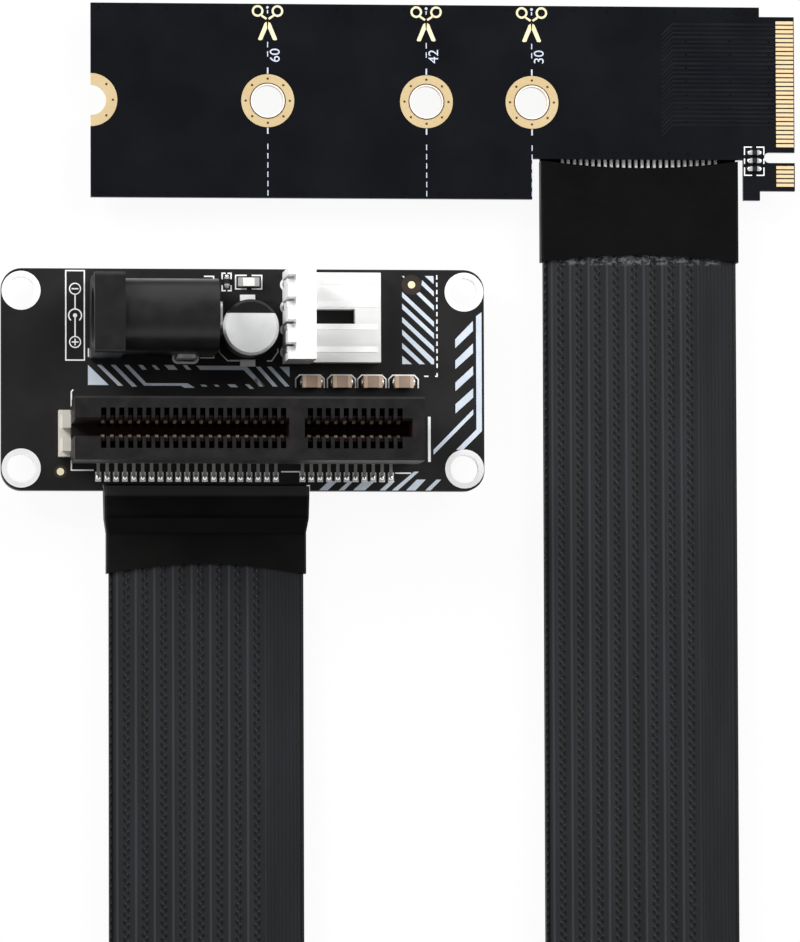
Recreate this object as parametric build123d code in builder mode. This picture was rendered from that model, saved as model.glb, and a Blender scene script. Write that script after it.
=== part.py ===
from build123d import *
from math import cos, pi, radians, sin, sqrt
import os

os.makedirs("parts", exist_ok=True)

# Sizes in millimetres. The origin is the centre of the slot board's four screw holes,
# on the board's underside. X runs along the slot, Y towards the drive card, Z up.

# Slot board
board_length = 54.5
board_width = 25.0
board_thickness = 1.6
board_corner = 2.3
screw_inset_x = 2.25
screw_inset_y = 2.5
screw_hole = 3.2
screw_land = 4.4
copper = 0.05
press_clearance = 0.02

# Ribbon pair: two flat cables stacked, whose wires share one pitch
ribbon_width = 21.9
ribbon_thickness = 0.9
ribbon_gap = 0.1
wire_count = 26
wire_pitch = 0.7
wire_width = 0.3
wire_thickness = 0.2
board_run_x = -4.1
run_spacing = 49.3
flat_end_y = -64.0
roll_length = 41.0
roll_steps = 10

# Heat-shrink sleeves over the ends of the ribbon pair
sleeve_wall = 0.25
sleeve_clearance = 0.05
sleeve_corner = 0.22
card_sleeve_length = 11.5
board_sleeve_length = 9.8
board_sleeve_hump = 1.15
board_sleeve_flare = 0.3
sleeve_arc_rise = 0.8
board_sleeve_arc_rise = 1.1
board_sleeve_shape = ((0, 1.0), (1.0, 1.0), (3.6, 0.8), (5.2, 0.0))
edge_gap = 0.15

# Soldering of the ribbon wires on the underside of both boards
wire_bare_length = 1.1
wire_slant = 1.8
wire_soldered_length = 1.7

# Drive card: a plug-in card with an M key edge
card_width = 22.0
card_length = 80.0
card_thickness = 0.8
card_centre_y = 31.65
contact_edge_x = 62.9
tongue_length = 4.0
tongue_width = 19.85
card_screw_hole = 3.5
card_screw_land = 6.0
card_screw_distances = (30.0, 42.0, 60.0)
key_width = 1.2
key_depth = 3.5
key_offset = 6.125
finger_pitch = 0.5
finger_width = 0.35
finger_length = 2.0
finger_first_top = 9.25
top_finger_count = 38
finger_key_clearance = 0.12
edge_bevel = 0.12
cutout_left_x = 32.9
cutout_right_x = 57.0
cutout_depth = 4.6

# Card slot: four lanes, left end open
slot_length = 39.0
slot_left_x = -19.55
slot_edge_distance = 6.35
slot_height = 11.25
slot_half_width = 3.55
slot_base_half_width = 2.9
slot_base_height = 4.0
slot_standoff = 0.3
slot_rim_bevel = 0.25
slot_pitch = 1.0
slot_left_margin = 2.9
slot_right_margin = 0.9
key_bar_x = 5.15
key_bar_width = 1.7
key_bar_pitch = 3.0
groove_half_width = 0.875
groove_mouth_half_width = 1.14
groove_mouth_depth = 0.6
groove_depth = 8.0
groove_end_wall = 1.4
pocket_width = 0.6
pocket_outer = 2.25
pocket_inner = 0.6
tail_exit_height = 3.0
tail_clearance = 0.5
contact_thickness = 0.15
contact_width = 0.36
contact_reach = 0.62
contact_depth = 2.4
spring_root = 1.2
tip_offset = 1.3
tip_depth = 0.7
tail_stand_off = 0.35
tail_setback = 0.4
foot_reach = 5.2

# Ivory block at the slot's open end
end_block_width = 1.3
end_block_length = 5.2
end_block_height = 1.6
end_key_width = 0.95
end_key_length = 1.5
end_key_height = 1.0
end_key_spacing = 2.6

# Round power jack, mouth towards -X
jack_front_x = -17.3
jack_edge_distance = 5.75
jack_length = 14.0
jack_width = 9.0
jack_height = 11.0
jack_corner = 0.5
jack_flange = 3.4
jack_barrel = 8.2
jack_axis_height = 6.5
jack_bore = 6.3
jack_bore_depth = 9.6
jack_pin = 2.0
jack_pin_recess = 0.8
jack_pin_bevel = 0.4
terminal_thickness = 0.4
rear_terminal_width = 2.9
rear_terminal_round = 0.9
side_terminal_width = 2.0
side_terminal_rise = 3.0
side_terminal_round = 0.6
side_terminal_x = -6.5
spring_terminal_width = 2.2
spring_terminal_back = 7.7
spring_root_rise = 0.45
spring_hump_reach = 2.5
spring_nose_recess = 1.2
terminal_slot_play = 0.25

# Aluminium can capacitor
can_x = 0.5
can_edge_distance = 6.95
can_diameter = 6.3
can_height = 5.4
can_base_size = 6.6
can_base_height = 0.9
can_base_chamfer = 1.3
can_tab_width = 1.7
can_tab_reach = 4.05
can_tab_thickness = 0.2
can_tab_gap = 1.4
can_crimp = 0.3
can_crimp_foot = 0.5

# Four-way power header, pins lying along X
header_wall_x = 4.45
header_edge_distance = 5.55
header_wall_thickness = 3.15
header_width = 10.3
header_height = 8.3
header_shelf_length = 7.8
header_shelf_width = 10.1
header_shelf_height = 1.9
header_window_length = 4.9
header_window_width = 1.9
header_notch_depth = 0.9
header_notch_width = 1.1
header_pin_count = 4
header_pin_pitch = 2.54
header_pin = 0.64
header_pin_height = 4.4
header_pin_x = 4.9
header_pin_setback = 0.6
header_hole = 1.0

# Small parts of both boards: length, width and height of a body with its metal ends
ceramic_xs = (7.68, 11.13, 14.61, 18.14)
ceramic_share = 0.54
ceramic_size = (2.1, 1.3, 0.9)
ceramic_end = 0.42
light_x = 0.61
light_edge_distance = 1.47
light_size = (2.4, 0.95, 0.55)
light_end = 0.55
board_resistor_x = -1.83
board_resistor_edge_distance = 1.41
card_resistor_edge_distance = 4.62
card_resistor_first = 5.44
card_resistor_pitch = 0.925
card_resistor_count = 3
resistor_size = (1.0, 0.5, 0.35)
resistor_end = 0.22
end_proud = 0.02

# Levels and places that follow from the sizes above
wire_z = -copper - wire_thickness / 2
ribbon_step = ribbon_thickness + ribbon_gap
stack_thickness = 2 * ribbon_thickness + ribbon_gap
stack_bottom = wire_z - ribbon_step - ribbon_thickness / 2
table_z = stack_bottom - sleeve_clearance - sleeve_wall
board_top = board_thickness
card_run_x = board_run_x + run_spacing
bend_radius = run_spacing / 2
bend_centre = (board_run_x + bend_radius, flat_end_y - roll_length)
sleeve_width = ribbon_width + 2 * (sleeve_clearance + sleeve_wall)
sleeve_height = stack_thickness + 2 * (sleeve_clearance + sleeve_wall)
notch_half_width = sleeve_width / 2 + board_sleeve_flare + edge_gap
notch_depth = 0.7
board_notch_y = -board_width / 2 + notch_depth
cutout_y = card_centre_y - card_width / 2 + cutout_depth
shoulder_x = contact_edge_x - tongue_length
card_left_x = contact_edge_x - card_length
card_side_y = card_centre_y - card_width / 2
card_resistor_x = contact_edge_x - card_resistor_edge_distance
card_resistor_ys = [
    card_side_y + card_resistor_first - i * card_resistor_pitch for i in range(card_resistor_count)
]
screw_spacing_x = board_length - 2 * screw_inset_x
screw_spacing_y = board_width - 2 * screw_inset_y
slot_axis_y = slot_edge_distance - board_width / 2
jack_centre_y = board_width / 2 - jack_edge_distance
can_y = board_width / 2 - can_edge_distance
header_centre_y = board_width / 2 - header_edge_distance
light_centre = (light_x, board_width / 2 - light_edge_distance)
board_resistor_centre = (board_resistor_x, board_width / 2 - board_resistor_edge_distance)
slot_side_y = slot_axis_y + slot_half_width
header_side_y = header_centre_y - header_width / 2
ceramic_y = slot_side_y + ceramic_share * (header_side_y - slot_side_y)
groove_right_x = slot_left_x + slot_length - groove_end_wall
long_row_first_x = key_bar_x - key_bar_pitch / 2
short_row_first_x = key_bar_x + key_bar_pitch / 2
long_row_room = long_row_first_x - slot_left_x - slot_left_margin
short_row_room = groove_right_x - slot_right_margin - short_row_first_x
long_row_xs = [long_row_first_x - i * slot_pitch for i in range(int(long_row_room / slot_pitch) + 1)]
short_row_xs = [
    short_row_first_x + i * slot_pitch for i in range(int(short_row_room / slot_pitch) + 1)
]
contact_xs = long_row_xs + short_row_xs
tail_offset = (groove_half_width + pocket_outer) / 2 + tail_setback
jack_rear_x = jack_front_x + jack_length
jack_axis_z = board_top + jack_axis_height
spring_terminal_x = jack_front_x + spring_terminal_back
header_pin_ys = [
    header_centre_y + (i - (header_pin_count - 1) / 2) * header_pin_pitch
    for i in range(header_pin_count)
]
header_wall_back_x = header_wall_x + header_wall_thickness
wire_offsets = [(i - (wire_count - 1) / 2) * wire_pitch for i in range(wire_count)]

# Slot board, with its screw holes, cable notch and holes for soldered tails
with BuildPart() as slot_board:
    with BuildSketch():
        RectangleRounded(board_length, board_width, board_corner)
        with Locations((board_run_x, -board_width / 2)):
            Rectangle(2 * notch_half_width, 2 * notch_depth, mode=Mode.SUBTRACT)
        with GridLocations(screw_spacing_x, screw_spacing_y, 2, 2):
            Circle(screw_land / 2, mode=Mode.SUBTRACT)
        with Locations([(header_pin_x, y) for y in header_pin_ys]):
            Circle(header_hole / 2, mode=Mode.SUBTRACT)
        with Locations([(x, slot_axis_y + tail_offset) for x in contact_xs]):
            Rectangle(
                contact_width + 2 * press_clearance,
                contact_thickness + 2 * press_clearance,
                mode=Mode.SUBTRACT,
            )
        with Locations((jack_rear_x + terminal_thickness / 2, jack_centre_y)):
            Rectangle(
                terminal_thickness + 2 * terminal_slot_play,
                rear_terminal_width + 2 * terminal_slot_play,
                mode=Mode.SUBTRACT,
            )
        with Locations((spring_terminal_x, jack_centre_y)):
            Rectangle(
                terminal_thickness + 2 * terminal_slot_play,
                spring_terminal_width + 2 * terminal_slot_play,
                mode=Mode.SUBTRACT,
            )
        with Locations((side_terminal_x, jack_centre_y - jack_barrel / 2 - terminal_thickness / 2)):
            SlotOverall(
                side_terminal_width + 4 * terminal_slot_play,
                terminal_thickness + 2 * terminal_slot_play,
                mode=Mode.SUBTRACT,
            )
    extrude(amount=board_thickness)

# Tinned eyelets: rings through the board at its screw holes, proud of both faces
with BuildPart() as screw_eyelets:
    with BuildSketch(Plane.XY.offset(-copper)):
        with GridLocations(screw_spacing_x, screw_spacing_y, 2, 2):
            Circle(screw_land / 2)
            Circle(screw_hole / 2, mode=Mode.SUBTRACT)
    extrude(amount=board_thickness + 2 * copper)

# Slot housing: a narrow base under wider walls, a groove open at the left end,
# a key bar, and a pocket in both walls for every contact
slot_top = board_top + slot_height
groove_floor = slot_top - groove_depth
with BuildPart() as slot_housing:
    with BuildSketch(Plane.YZ.offset(slot_left_x)):
        with BuildLine():
            Polyline(
                (slot_axis_y - slot_base_half_width, board_top + slot_standoff),
                (slot_axis_y + slot_base_half_width, board_top + slot_standoff),
                (slot_axis_y + slot_base_half_width, board_top + slot_base_height),
                (slot_axis_y + slot_half_width, board_top + slot_base_height),
                (slot_axis_y + slot_half_width, slot_top),
                (slot_axis_y - slot_half_width, slot_top),
                (slot_axis_y - slot_half_width, board_top + slot_base_height),
                (slot_axis_y - slot_base_half_width, board_top + slot_base_height),
                close=True,
            )
        make_face()
    extrude(amount=slot_length)
    rims = slot_housing.edges().filter_by(Axis.X).group_by(Axis.Z)[-1]
    chamfer(rims, length=slot_rim_bevel)
    # standing feet at both ends
    foot_length = slot_left_x + slot_length - max(contact_xs) - slot_pitch
    for x in (slot_left_x + foot_length / 2, slot_left_x + slot_length - foot_length / 2):
        with BuildSketch(Plane.XY.offset(board_top)):
            with Locations((x, slot_axis_y)):
                Rectangle(foot_length, 2 * slot_base_half_width)
        extrude(amount=slot_standoff)
    # groove with a chamfered mouth, on both sides of the key bar
    key_left_x = key_bar_x - key_bar_width / 2
    key_right_x = key_bar_x + key_bar_width / 2
    for left, right in ((slot_left_x, key_left_x), (key_right_x, groove_right_x)):
        with BuildSketch(Plane.YZ.offset(left)):
            with BuildLine():
                Polyline(
                    (slot_axis_y - groove_half_width, groove_floor),
                    (slot_axis_y + groove_half_width, groove_floor),
                    (slot_axis_y + groove_half_width, slot_top - groove_mouth_depth),
                    (slot_axis_y + groove_mouth_half_width, slot_top),
                    (slot_axis_y - groove_mouth_half_width, slot_top),
                    (slot_axis_y - groove_half_width, slot_top - groove_mouth_depth),
                    close=True,
                )
            make_face()
        extrude(amount=right - left, mode=Mode.SUBTRACT)
    # contact pockets, open to the groove, to the top face and to the board
    pocket_reach = pocket_outer - pocket_inner
    for side in (-1, 1):
        row = [(x, slot_axis_y + side * (pocket_inner + pocket_reach / 2)) for x in contact_xs]
        with BuildSketch(Plane.XY.offset(board_top)):
            with Locations(row):
                Rectangle(pocket_width, pocket_reach)
        extrude(amount=slot_height, mode=Mode.SUBTRACT)
    # recess along the base, where the front row's tails come out
    recess_length = max(contact_xs) - min(contact_xs) + pocket_width
    recess_x = (max(contact_xs) + min(contact_xs)) / 2
    recess_depth = slot_base_half_width - pocket_outer
    with BuildSketch(Plane.XY.offset(board_top)):
        with Locations((recess_x, slot_axis_y - pocket_outer - recess_depth / 2)):
            Rectangle(recess_length, recess_depth)
    extrude(amount=tail_exit_height, mode=Mode.SUBTRACT)


def spring_path(side):
    """Upper part of a contact: up its pocket, over to the card, out again at the tip."""
    inward = -side * contact_thickness / 2
    return [
        (slot_axis_y + side * tail_offset + inward, board_top + slot_base_height + spring_root),
        (slot_axis_y + side * contact_reach, slot_top - contact_depth),
        (slot_axis_y + side * tip_offset, slot_top - tip_depth),
    ]


# Front contact: a gull-wing foot on the board, a spring beam leaning into the groove
front_tail_y = slot_axis_y - slot_base_half_width - tail_stand_off
with BuildPart() as front_contact:
    with BuildSketch(Plane.YZ.offset(-contact_width / 2)):
        with BuildLine():
            Polyline(
                (slot_axis_y - foot_reach, board_top),
                (front_tail_y, board_top),
                (slot_axis_y - tail_offset, board_top + tail_exit_height - tail_clearance),
                *spring_path(-1),
            )
            offset(amount=contact_thickness, side=Side.LEFT, kind=Kind.INTERSECTION)
        make_face()
    extrude(amount=contact_width)

with BuildPart() as slot_contacts_front:
    with Locations([(x, 0, 0) for x in contact_xs]):
        add(front_contact.part)

# Back contact: a straight tail down through the board, the same spring
back_tail_y = slot_axis_y + tail_offset - contact_thickness / 2
with BuildPart() as back_contact:
    with BuildSketch(Plane.YZ.offset(-contact_width / 2)):
        with BuildLine():
            Polyline((back_tail_y, table_z), *spring_path(1))
            offset(amount=contact_thickness, side=Side.RIGHT, kind=Kind.INTERSECTION)
        make_face()
    extrude(amount=contact_width)

with BuildPart() as slot_contacts_back:
    with Locations([(x, 0, 0) for x in contact_xs]):
        add(back_contact.part)

# Ivory block with two raised keys beside the slot's open end
end_block_x = slot_left_x - end_block_width / 2
with BuildPart() as slot_end_block:
    with BuildSketch(Plane.XY.offset(board_top)):
        with Locations((end_block_x, slot_axis_y)):
            Rectangle(end_block_width, end_block_length)
    extrude(amount=end_block_height)
    with BuildSketch(Plane.XY.offset(board_top + end_block_height)):
        with Locations((slot_left_x - end_key_width / 2, slot_axis_y)):
            with GridLocations(1, end_key_spacing, 1, 2):
                Rectangle(end_key_width, end_key_length)
    extrude(amount=end_key_height)

# Jack housing: square flange at the mouth, round-backed body, bore, terminal passages
with BuildPart() as jack_housing:
    with BuildSketch(Plane.YZ.offset(jack_front_x)):
        with Locations((jack_centre_y, board_top + jack_height / 2)):
            RectangleRounded(jack_width, jack_height, jack_corner)
    extrude(amount=jack_flange)
    with BuildSketch(Plane.YZ.offset(jack_front_x + jack_flange)):
        with Locations((jack_centre_y, board_top + jack_axis_height / 2)):
            Rectangle(jack_barrel, jack_axis_height)
        with Locations((jack_centre_y, jack_axis_z)):
            Circle(jack_barrel / 2)
    extrude(amount=jack_length - jack_flange)
    with BuildSketch(Plane.YZ.offset(jack_front_x)):
        with Locations((jack_centre_y, jack_axis_z)):
            Circle(jack_bore / 2)
    extrude(amount=jack_bore_depth, mode=Mode.SUBTRACT)
    with BuildSketch(Plane.YZ.offset(jack_front_x)):
        with Locations((jack_centre_y, jack_axis_z)):
            Circle(jack_pin / 2 + press_clearance)
    extrude(amount=jack_length, mode=Mode.SUBTRACT)
    with BuildSketch(Plane.XY.offset(board_top)):
        with Locations((spring_terminal_x, jack_centre_y)):
            Rectangle(
                terminal_thickness + 2 * press_clearance,
                spring_terminal_width + 2 * press_clearance,
            )
    extrude(amount=jack_axis_height - jack_bore / 4, mode=Mode.SUBTRACT)

# Centre pin of the jack, round-nosed, held in the rear wall
with BuildPart() as jack_centre_pin:
    with BuildSketch(Plane.YZ.offset(jack_front_x + jack_pin_recess)):
        with Locations((jack_centre_y, jack_axis_z)):
            Circle(jack_pin / 2)
    extrude(amount=jack_length - jack_pin_recess)
    chamfer(jack_centre_pin.edges().group_by(Axis.X)[0], length=jack_pin_bevel)

# Rear terminal: a flat blade against the housing's back, down through the board
with BuildPart() as jack_rear_terminal:
    with BuildSketch(Plane.YZ.offset(jack_rear_x)):
        blade_height = jack_axis_z + jack_pin - table_z
        with Locations((jack_centre_y, table_z + blade_height / 2)):
            Rectangle(rear_terminal_width, blade_height)
    extrude(amount=terminal_thickness)
    fillet(jack_rear_terminal.edges().filter_by(Axis.X).group_by(Axis.Z)[-1], radius=rear_terminal_round)

# Side terminal: a blade against the housing's side
with BuildPart() as jack_side_terminal:
    side_face_y = jack_centre_y - jack_barrel / 2
    with BuildSketch(Plane.XZ.offset(-side_face_y)):
        blade_height = board_top + side_terminal_rise - table_z
        with Locations((side_terminal_x, table_z + blade_height / 2)):
            Rectangle(side_terminal_width, blade_height)
    extrude(amount=terminal_thickness)
    fillet(jack_side_terminal.edges().filter_by(Axis.Y).group_by(Axis.Z)[-1], radius=side_terminal_round)

# Spring terminal: up through the floor of the housing, then forward along the bore
with BuildPart() as jack_spring_terminal:
    spring_rest_z = jack_axis_z - sqrt((jack_bore / 2) ** 2 - (spring_terminal_width / 2) ** 2)
    with BuildSketch(Plane.XZ.offset(-jack_centre_y)):
        with BuildLine():
            Polyline(
                (spring_terminal_x + terminal_thickness / 2, table_z),
                (spring_terminal_x + terminal_thickness / 2, spring_rest_z + spring_root_rise),
                (spring_terminal_x - spring_hump_reach, spring_rest_z + 2 * spring_root_rise),
                (jack_front_x + spring_nose_recess, spring_rest_z + spring_root_rise),
            )
            offset(amount=terminal_thickness, side=Side.LEFT, kind=Kind.INTERSECTION)
        make_face()
    extrude(amount=spring_terminal_width / 2, both=True)

# Capacitor base: square plate with two cut corners
with BuildPart() as capacitor_base:
    with BuildSketch(Plane.XY.offset(board_top + can_tab_thickness)):
        with Locations((can_x, can_y)):
            Rectangle(can_base_size, can_base_size)
    extrude(amount=can_base_height - can_tab_thickness)
    corners = capacitor_base.edges().filter_by(Axis.Z).group_by(Axis.Y)[0]
    chamfer(corners, length=can_base_chamfer)

# Capacitor can: a turned cup with a crimp ring near its foot
with BuildPart() as capacitor_can:
    can_radius = can_diameter / 2
    can_foot = board_top + can_base_height
    can_top = board_top + can_height
    with BuildSketch(Plane.XZ.offset(-can_y)):
        with BuildLine():
            Polyline(
                (can_x, can_foot),
                (can_x + can_radius, can_foot),
                (can_x + can_radius, can_foot + can_crimp_foot),
                (can_x + can_radius - can_crimp, can_foot + can_crimp_foot + can_crimp),
                (can_x + can_radius, can_foot + can_crimp_foot + 2 * can_crimp),
                (can_x + can_radius, can_top - can_crimp),
                (can_x + can_radius - can_crimp, can_top),
                (can_x, can_top),
                close=True,
            )
        make_face()
    revolve(axis=Axis((can_x, can_y, 0), (0, 0, 1)))

# Capacitor tabs: two flat leads under the base
with BuildPart() as capacitor_tabs:
    tab_length = can_tab_reach - can_tab_gap / 2
    with BuildSketch(Plane.XY.offset(board_top)):
        with Locations((can_x, can_y)):
            with GridLocations(1, 2 * (can_tab_reach - tab_length / 2), 1, 2):
                Rectangle(can_tab_width, tab_length)
    extrude(amount=can_tab_thickness)

# Header housing: an upright wall, a shelf under the pins, a window in the shelf
with BuildPart() as header_housing:
    with BuildSketch(Plane.XY.offset(board_top)):
        with Locations((header_wall_x + header_wall_thickness / 2, header_centre_y)):
            Rectangle(header_wall_thickness, header_width)
    extrude(amount=header_height)
    with BuildSketch(Plane.XY.offset(board_top)):
        with Locations((header_wall_back_x + header_shelf_length / 2, header_centre_y)):
            Rectangle(header_shelf_length, header_shelf_width)
    extrude(amount=header_shelf_height)
    with BuildSketch(Plane.XY.offset(board_top)):
        with Locations((header_wall_back_x + header_window_length / 2, header_centre_y)):
            Rectangle(header_window_length, header_window_width)
        with Locations([(header_wall_x + header_notch_depth / 2, y) for y in header_pin_ys]):
            Rectangle(header_notch_depth, header_notch_width)
    extrude(amount=header_height, mode=Mode.SUBTRACT)
    with BuildSketch(Plane.YZ.offset(header_wall_x)):
        with Locations([(y, board_top + header_pin_height) for y in header_pin_ys]):
            hole = header_pin + 2 * press_clearance
            Rectangle(hole, hole)
    extrude(amount=header_wall_thickness, mode=Mode.SUBTRACT)

# Header pins: square wire bent once, tails through the board
pin_tip_x = header_wall_back_x + header_shelf_length - header_pin_setback
pin_upper_z = board_top + header_pin_height + header_pin / 2
with BuildPart() as header_pin_one:
    with BuildSketch(Plane.XZ):
        with BuildLine():
            Polyline(
                (header_pin_x - header_pin / 2, table_z),
                (header_pin_x - header_pin / 2, pin_upper_z),
                (pin_tip_x, pin_upper_z),
            )
            offset(amount=header_pin, side=Side.RIGHT, kind=Kind.INTERSECTION)
        make_face()
    extrude(amount=header_pin / 2, both=True)

with BuildPart() as header_pins:
    with Locations([(0, y, 0) for y in header_pin_ys]):
        add(header_pin_one.part)


def chip_body(centre, size, end, level, upright=False):
    """Middle block of a small two-ended part on a board face at a level."""
    length, width, height = size
    with BuildPart() as body:
        with BuildSketch(Plane.XY.offset(level)):
            with Locations(Location((*centre, 0), (0, 0, 90 if upright else 0))):
                Rectangle(length - 2 * end, width)
        extrude(amount=height)
    return body


def chip_ends(centre, size, end, level, upright=False):
    """Metal caps at both ends of a small part, a trace wider than its body."""
    length, width, height = size
    with BuildPart() as caps:
        with BuildSketch(Plane.XY.offset(level)):
            with Locations(Location((*centre, 0), (0, 0, 90 if upright else 0))):
                with GridLocations(length - end, 1, 2, 1):
                    Rectangle(end, width + 2 * end_proud)
        extrude(amount=height + end_proud)
    return caps


# Indicator light and the resistor beside it
light_body = chip_body(light_centre, light_size, light_end, board_top)
light_ends = chip_ends(light_centre, light_size, light_end, board_top)
board_resistor_body = chip_body(
    board_resistor_centre, resistor_size, resistor_end, board_top, upright=True
)
board_resistor_ends = chip_ends(
    board_resistor_centre, resistor_size, resistor_end, board_top, upright=True
)

# Drive card: contact tongue with its key notch, screw holes, cable cut-out, bevelled edge
with BuildPart() as drive_card:
    with BuildSketch():
        with Locations((card_left_x + (card_length - tongue_length) / 2, card_centre_y)):
            Rectangle(card_length - tongue_length, card_width)
        with Locations((shoulder_x + tongue_length / 2, card_centre_y)):
            Rectangle(tongue_length, tongue_width)
        with Locations(((cutout_left_x + cutout_right_x) / 2, cutout_y - cutout_depth)):
            Rectangle(cutout_right_x - cutout_left_x, 2 * cutout_depth, mode=Mode.SUBTRACT)
        with Locations((contact_edge_x, card_centre_y - key_offset)):
            SlotOverall(2 * key_depth, key_width, mode=Mode.SUBTRACT)
        hole_xs = [contact_edge_x - d for d in (*card_screw_distances, card_length)]
        with Locations([(x, card_centre_y) for x in hole_xs]):
            Circle(card_screw_land / 2, mode=Mode.SUBTRACT)
    extrude(amount=card_thickness)
    bevelled = drive_card.faces().sort_by(Axis.X)[-1].outer_wire().edges().filter_by(Axis.Y)
    chamfer(bevelled, length=edge_bevel)


def screw_ring(distance):
    """Gold-plated ring through the card at one screw position, measured from the contact edge."""
    with BuildPart() as ring:
        with BuildSketch(Plane.XY.offset(-copper)):
            with Locations((contact_edge_x - distance, card_centre_y)):
                Circle(card_screw_land / 2)
                Circle(card_screw_hole / 2, mode=Mode.SUBTRACT)
        extrude(amount=card_thickness + 2 * copper)
        split(bisect_by=Plane.YZ.offset(card_left_x), keep=Keep.TOP)
    return ring


screw_ring_30 = screw_ring(card_screw_distances[0])
screw_ring_42 = screw_ring(card_screw_distances[1])
screw_ring_60 = screw_ring(card_screw_distances[2])
screw_ring_80 = screw_ring(card_length)


def fingers(first_offset, count, level):
    """Row of gold contact fingers on one face, with a gap at the key notch."""
    offsets = [first_offset - i * finger_pitch for i in range(count)]
    clear = key_width / 2 + finger_width / 2 + finger_key_clearance
    x = contact_edge_x - edge_bevel - finger_length / 2
    with BuildPart() as row:
        with BuildSketch(Plane.XY.offset(level)):
            with Locations([(x, card_centre_y + y) for y in offsets if abs(y + key_offset) > clear]):
                Rectangle(finger_length, finger_width)
        extrude(amount=copper)
    return row


fingers_top = fingers(finger_first_top, top_finger_count, card_thickness)
fingers_bottom = fingers(finger_first_top - finger_pitch / 2, top_finger_count - 1, -copper)

# Three small resistors beside the key notch
card_resistor_bodies = [
    chip_body((card_resistor_x, y), resistor_size, resistor_end, card_thickness)
    for y in card_resistor_ys
]
card_resistor_ends = [
    chip_ends((card_resistor_x, y), resistor_size, resistor_end, card_thickness)
    for y in card_resistor_ys
]

# Four ceramic capacitors in a row
ceramic_bodies = [
    chip_body((x, ceramic_y), ceramic_size, ceramic_end, board_top) for x in ceramic_xs
]
ceramic_ends = [
    chip_ends((x, ceramic_y), ceramic_size, ceramic_end, board_top) for x in ceramic_xs
]


def upper_wires(run_x, edge_y):
    """Wires of the upper ribbon: flat strips from the ribbon's end onto the board's underside."""
    start = edge_y - wire_bare_length
    length = wire_bare_length + wire_soldered_length
    with BuildPart() as wires:
        with BuildSketch(Plane.XY.offset(wire_z - wire_thickness / 2)):
            with Locations([(run_x + x, start + length / 2) for x in wire_offsets]):
                Rectangle(wire_width, length)
        extrude(amount=wire_thickness)
    return wires


def lower_wires(run_x, edge_y):
    """Wires of the lower ribbon: slanted strips up to the undersides of the upper wires."""
    start = edge_y - wire_bare_length
    low = wire_z - ribbon_step - wire_thickness / 2
    high = wire_z - wire_thickness / 2
    with BuildPart() as wire:
        with BuildSketch(Plane.YZ.offset(-wire_width / 2)):
            with BuildLine():
                Polyline(
                    (start, low),
                    (start + wire_slant, high - wire_thickness),
                    (start + wire_slant, high),
                    (start, low + wire_thickness),
                    close=True,
                )
            make_face()
        extrude(amount=wire_width)
    with BuildPart() as wires:
        with Locations([(run_x + x, 0, 0) for x in wire_offsets]):
            add(wire.part)
    return wires


card_wires_upper = upper_wires(card_run_x, cutout_y)
card_wires_lower = lower_wires(card_run_x, cutout_y)
board_wires_upper = upper_wires(board_run_x, board_notch_y)
board_wires_lower = lower_wires(board_run_x, board_notch_y)


def end_bow(run_x, y, rise, way):
    """Round cutter that bows one open end of a sleeve inwards, most in its middle."""
    radius = ((sleeve_width / 2) ** 2 + rise**2) / (2 * rise)
    with BuildPart() as cutter:
        with BuildSketch(Plane.XY.offset(table_z - sleeve_wall)):
            with Locations((run_x, y + way * (radius - rise))):
                Circle(radius)
        extrude(amount=sleeve_height + board_sleeve_hump + 2 * sleeve_wall)
    return cutter.part


def sleeve_cavity(run_x, top_y, length):
    """Space for the stacked ribbons through the whole length of a sleeve."""
    with BuildPart() as cavity:
        with BuildSketch(Plane.XZ.offset(-top_y)):
            with Locations((run_x, stack_bottom + stack_thickness / 2)):
                Rectangle(
                    ribbon_width + 2 * sleeve_clearance, stack_thickness + 2 * sleeve_clearance
                )
        extrude(amount=length)
    return cavity.part


# Sleeve at the drive card: a flat tube round both ribbons
card_sleeve_top_y = cutout_y - edge_gap
card_sleeve_bottom_y = card_sleeve_top_y - card_sleeve_length
with BuildPart() as card_sleeve:
    with BuildSketch(Plane.XZ.offset(-card_sleeve_top_y)):
        with Locations((card_run_x, table_z + sleeve_height / 2)):
            section = Rectangle(sleeve_width, sleeve_height)
            chamfer(section.vertices(), length=sleeve_corner)
    extrude(amount=card_sleeve_length)
    add(sleeve_cavity(card_run_x, card_sleeve_top_y, card_sleeve_length), mode=Mode.SUBTRACT)
    add(end_bow(card_run_x, card_sleeve_top_y, sleeve_arc_rise, 1), mode=Mode.SUBTRACT)
    add(end_bow(card_run_x, card_sleeve_bottom_y, sleeve_arc_rise, -1), mode=Mode.SUBTRACT)

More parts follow.
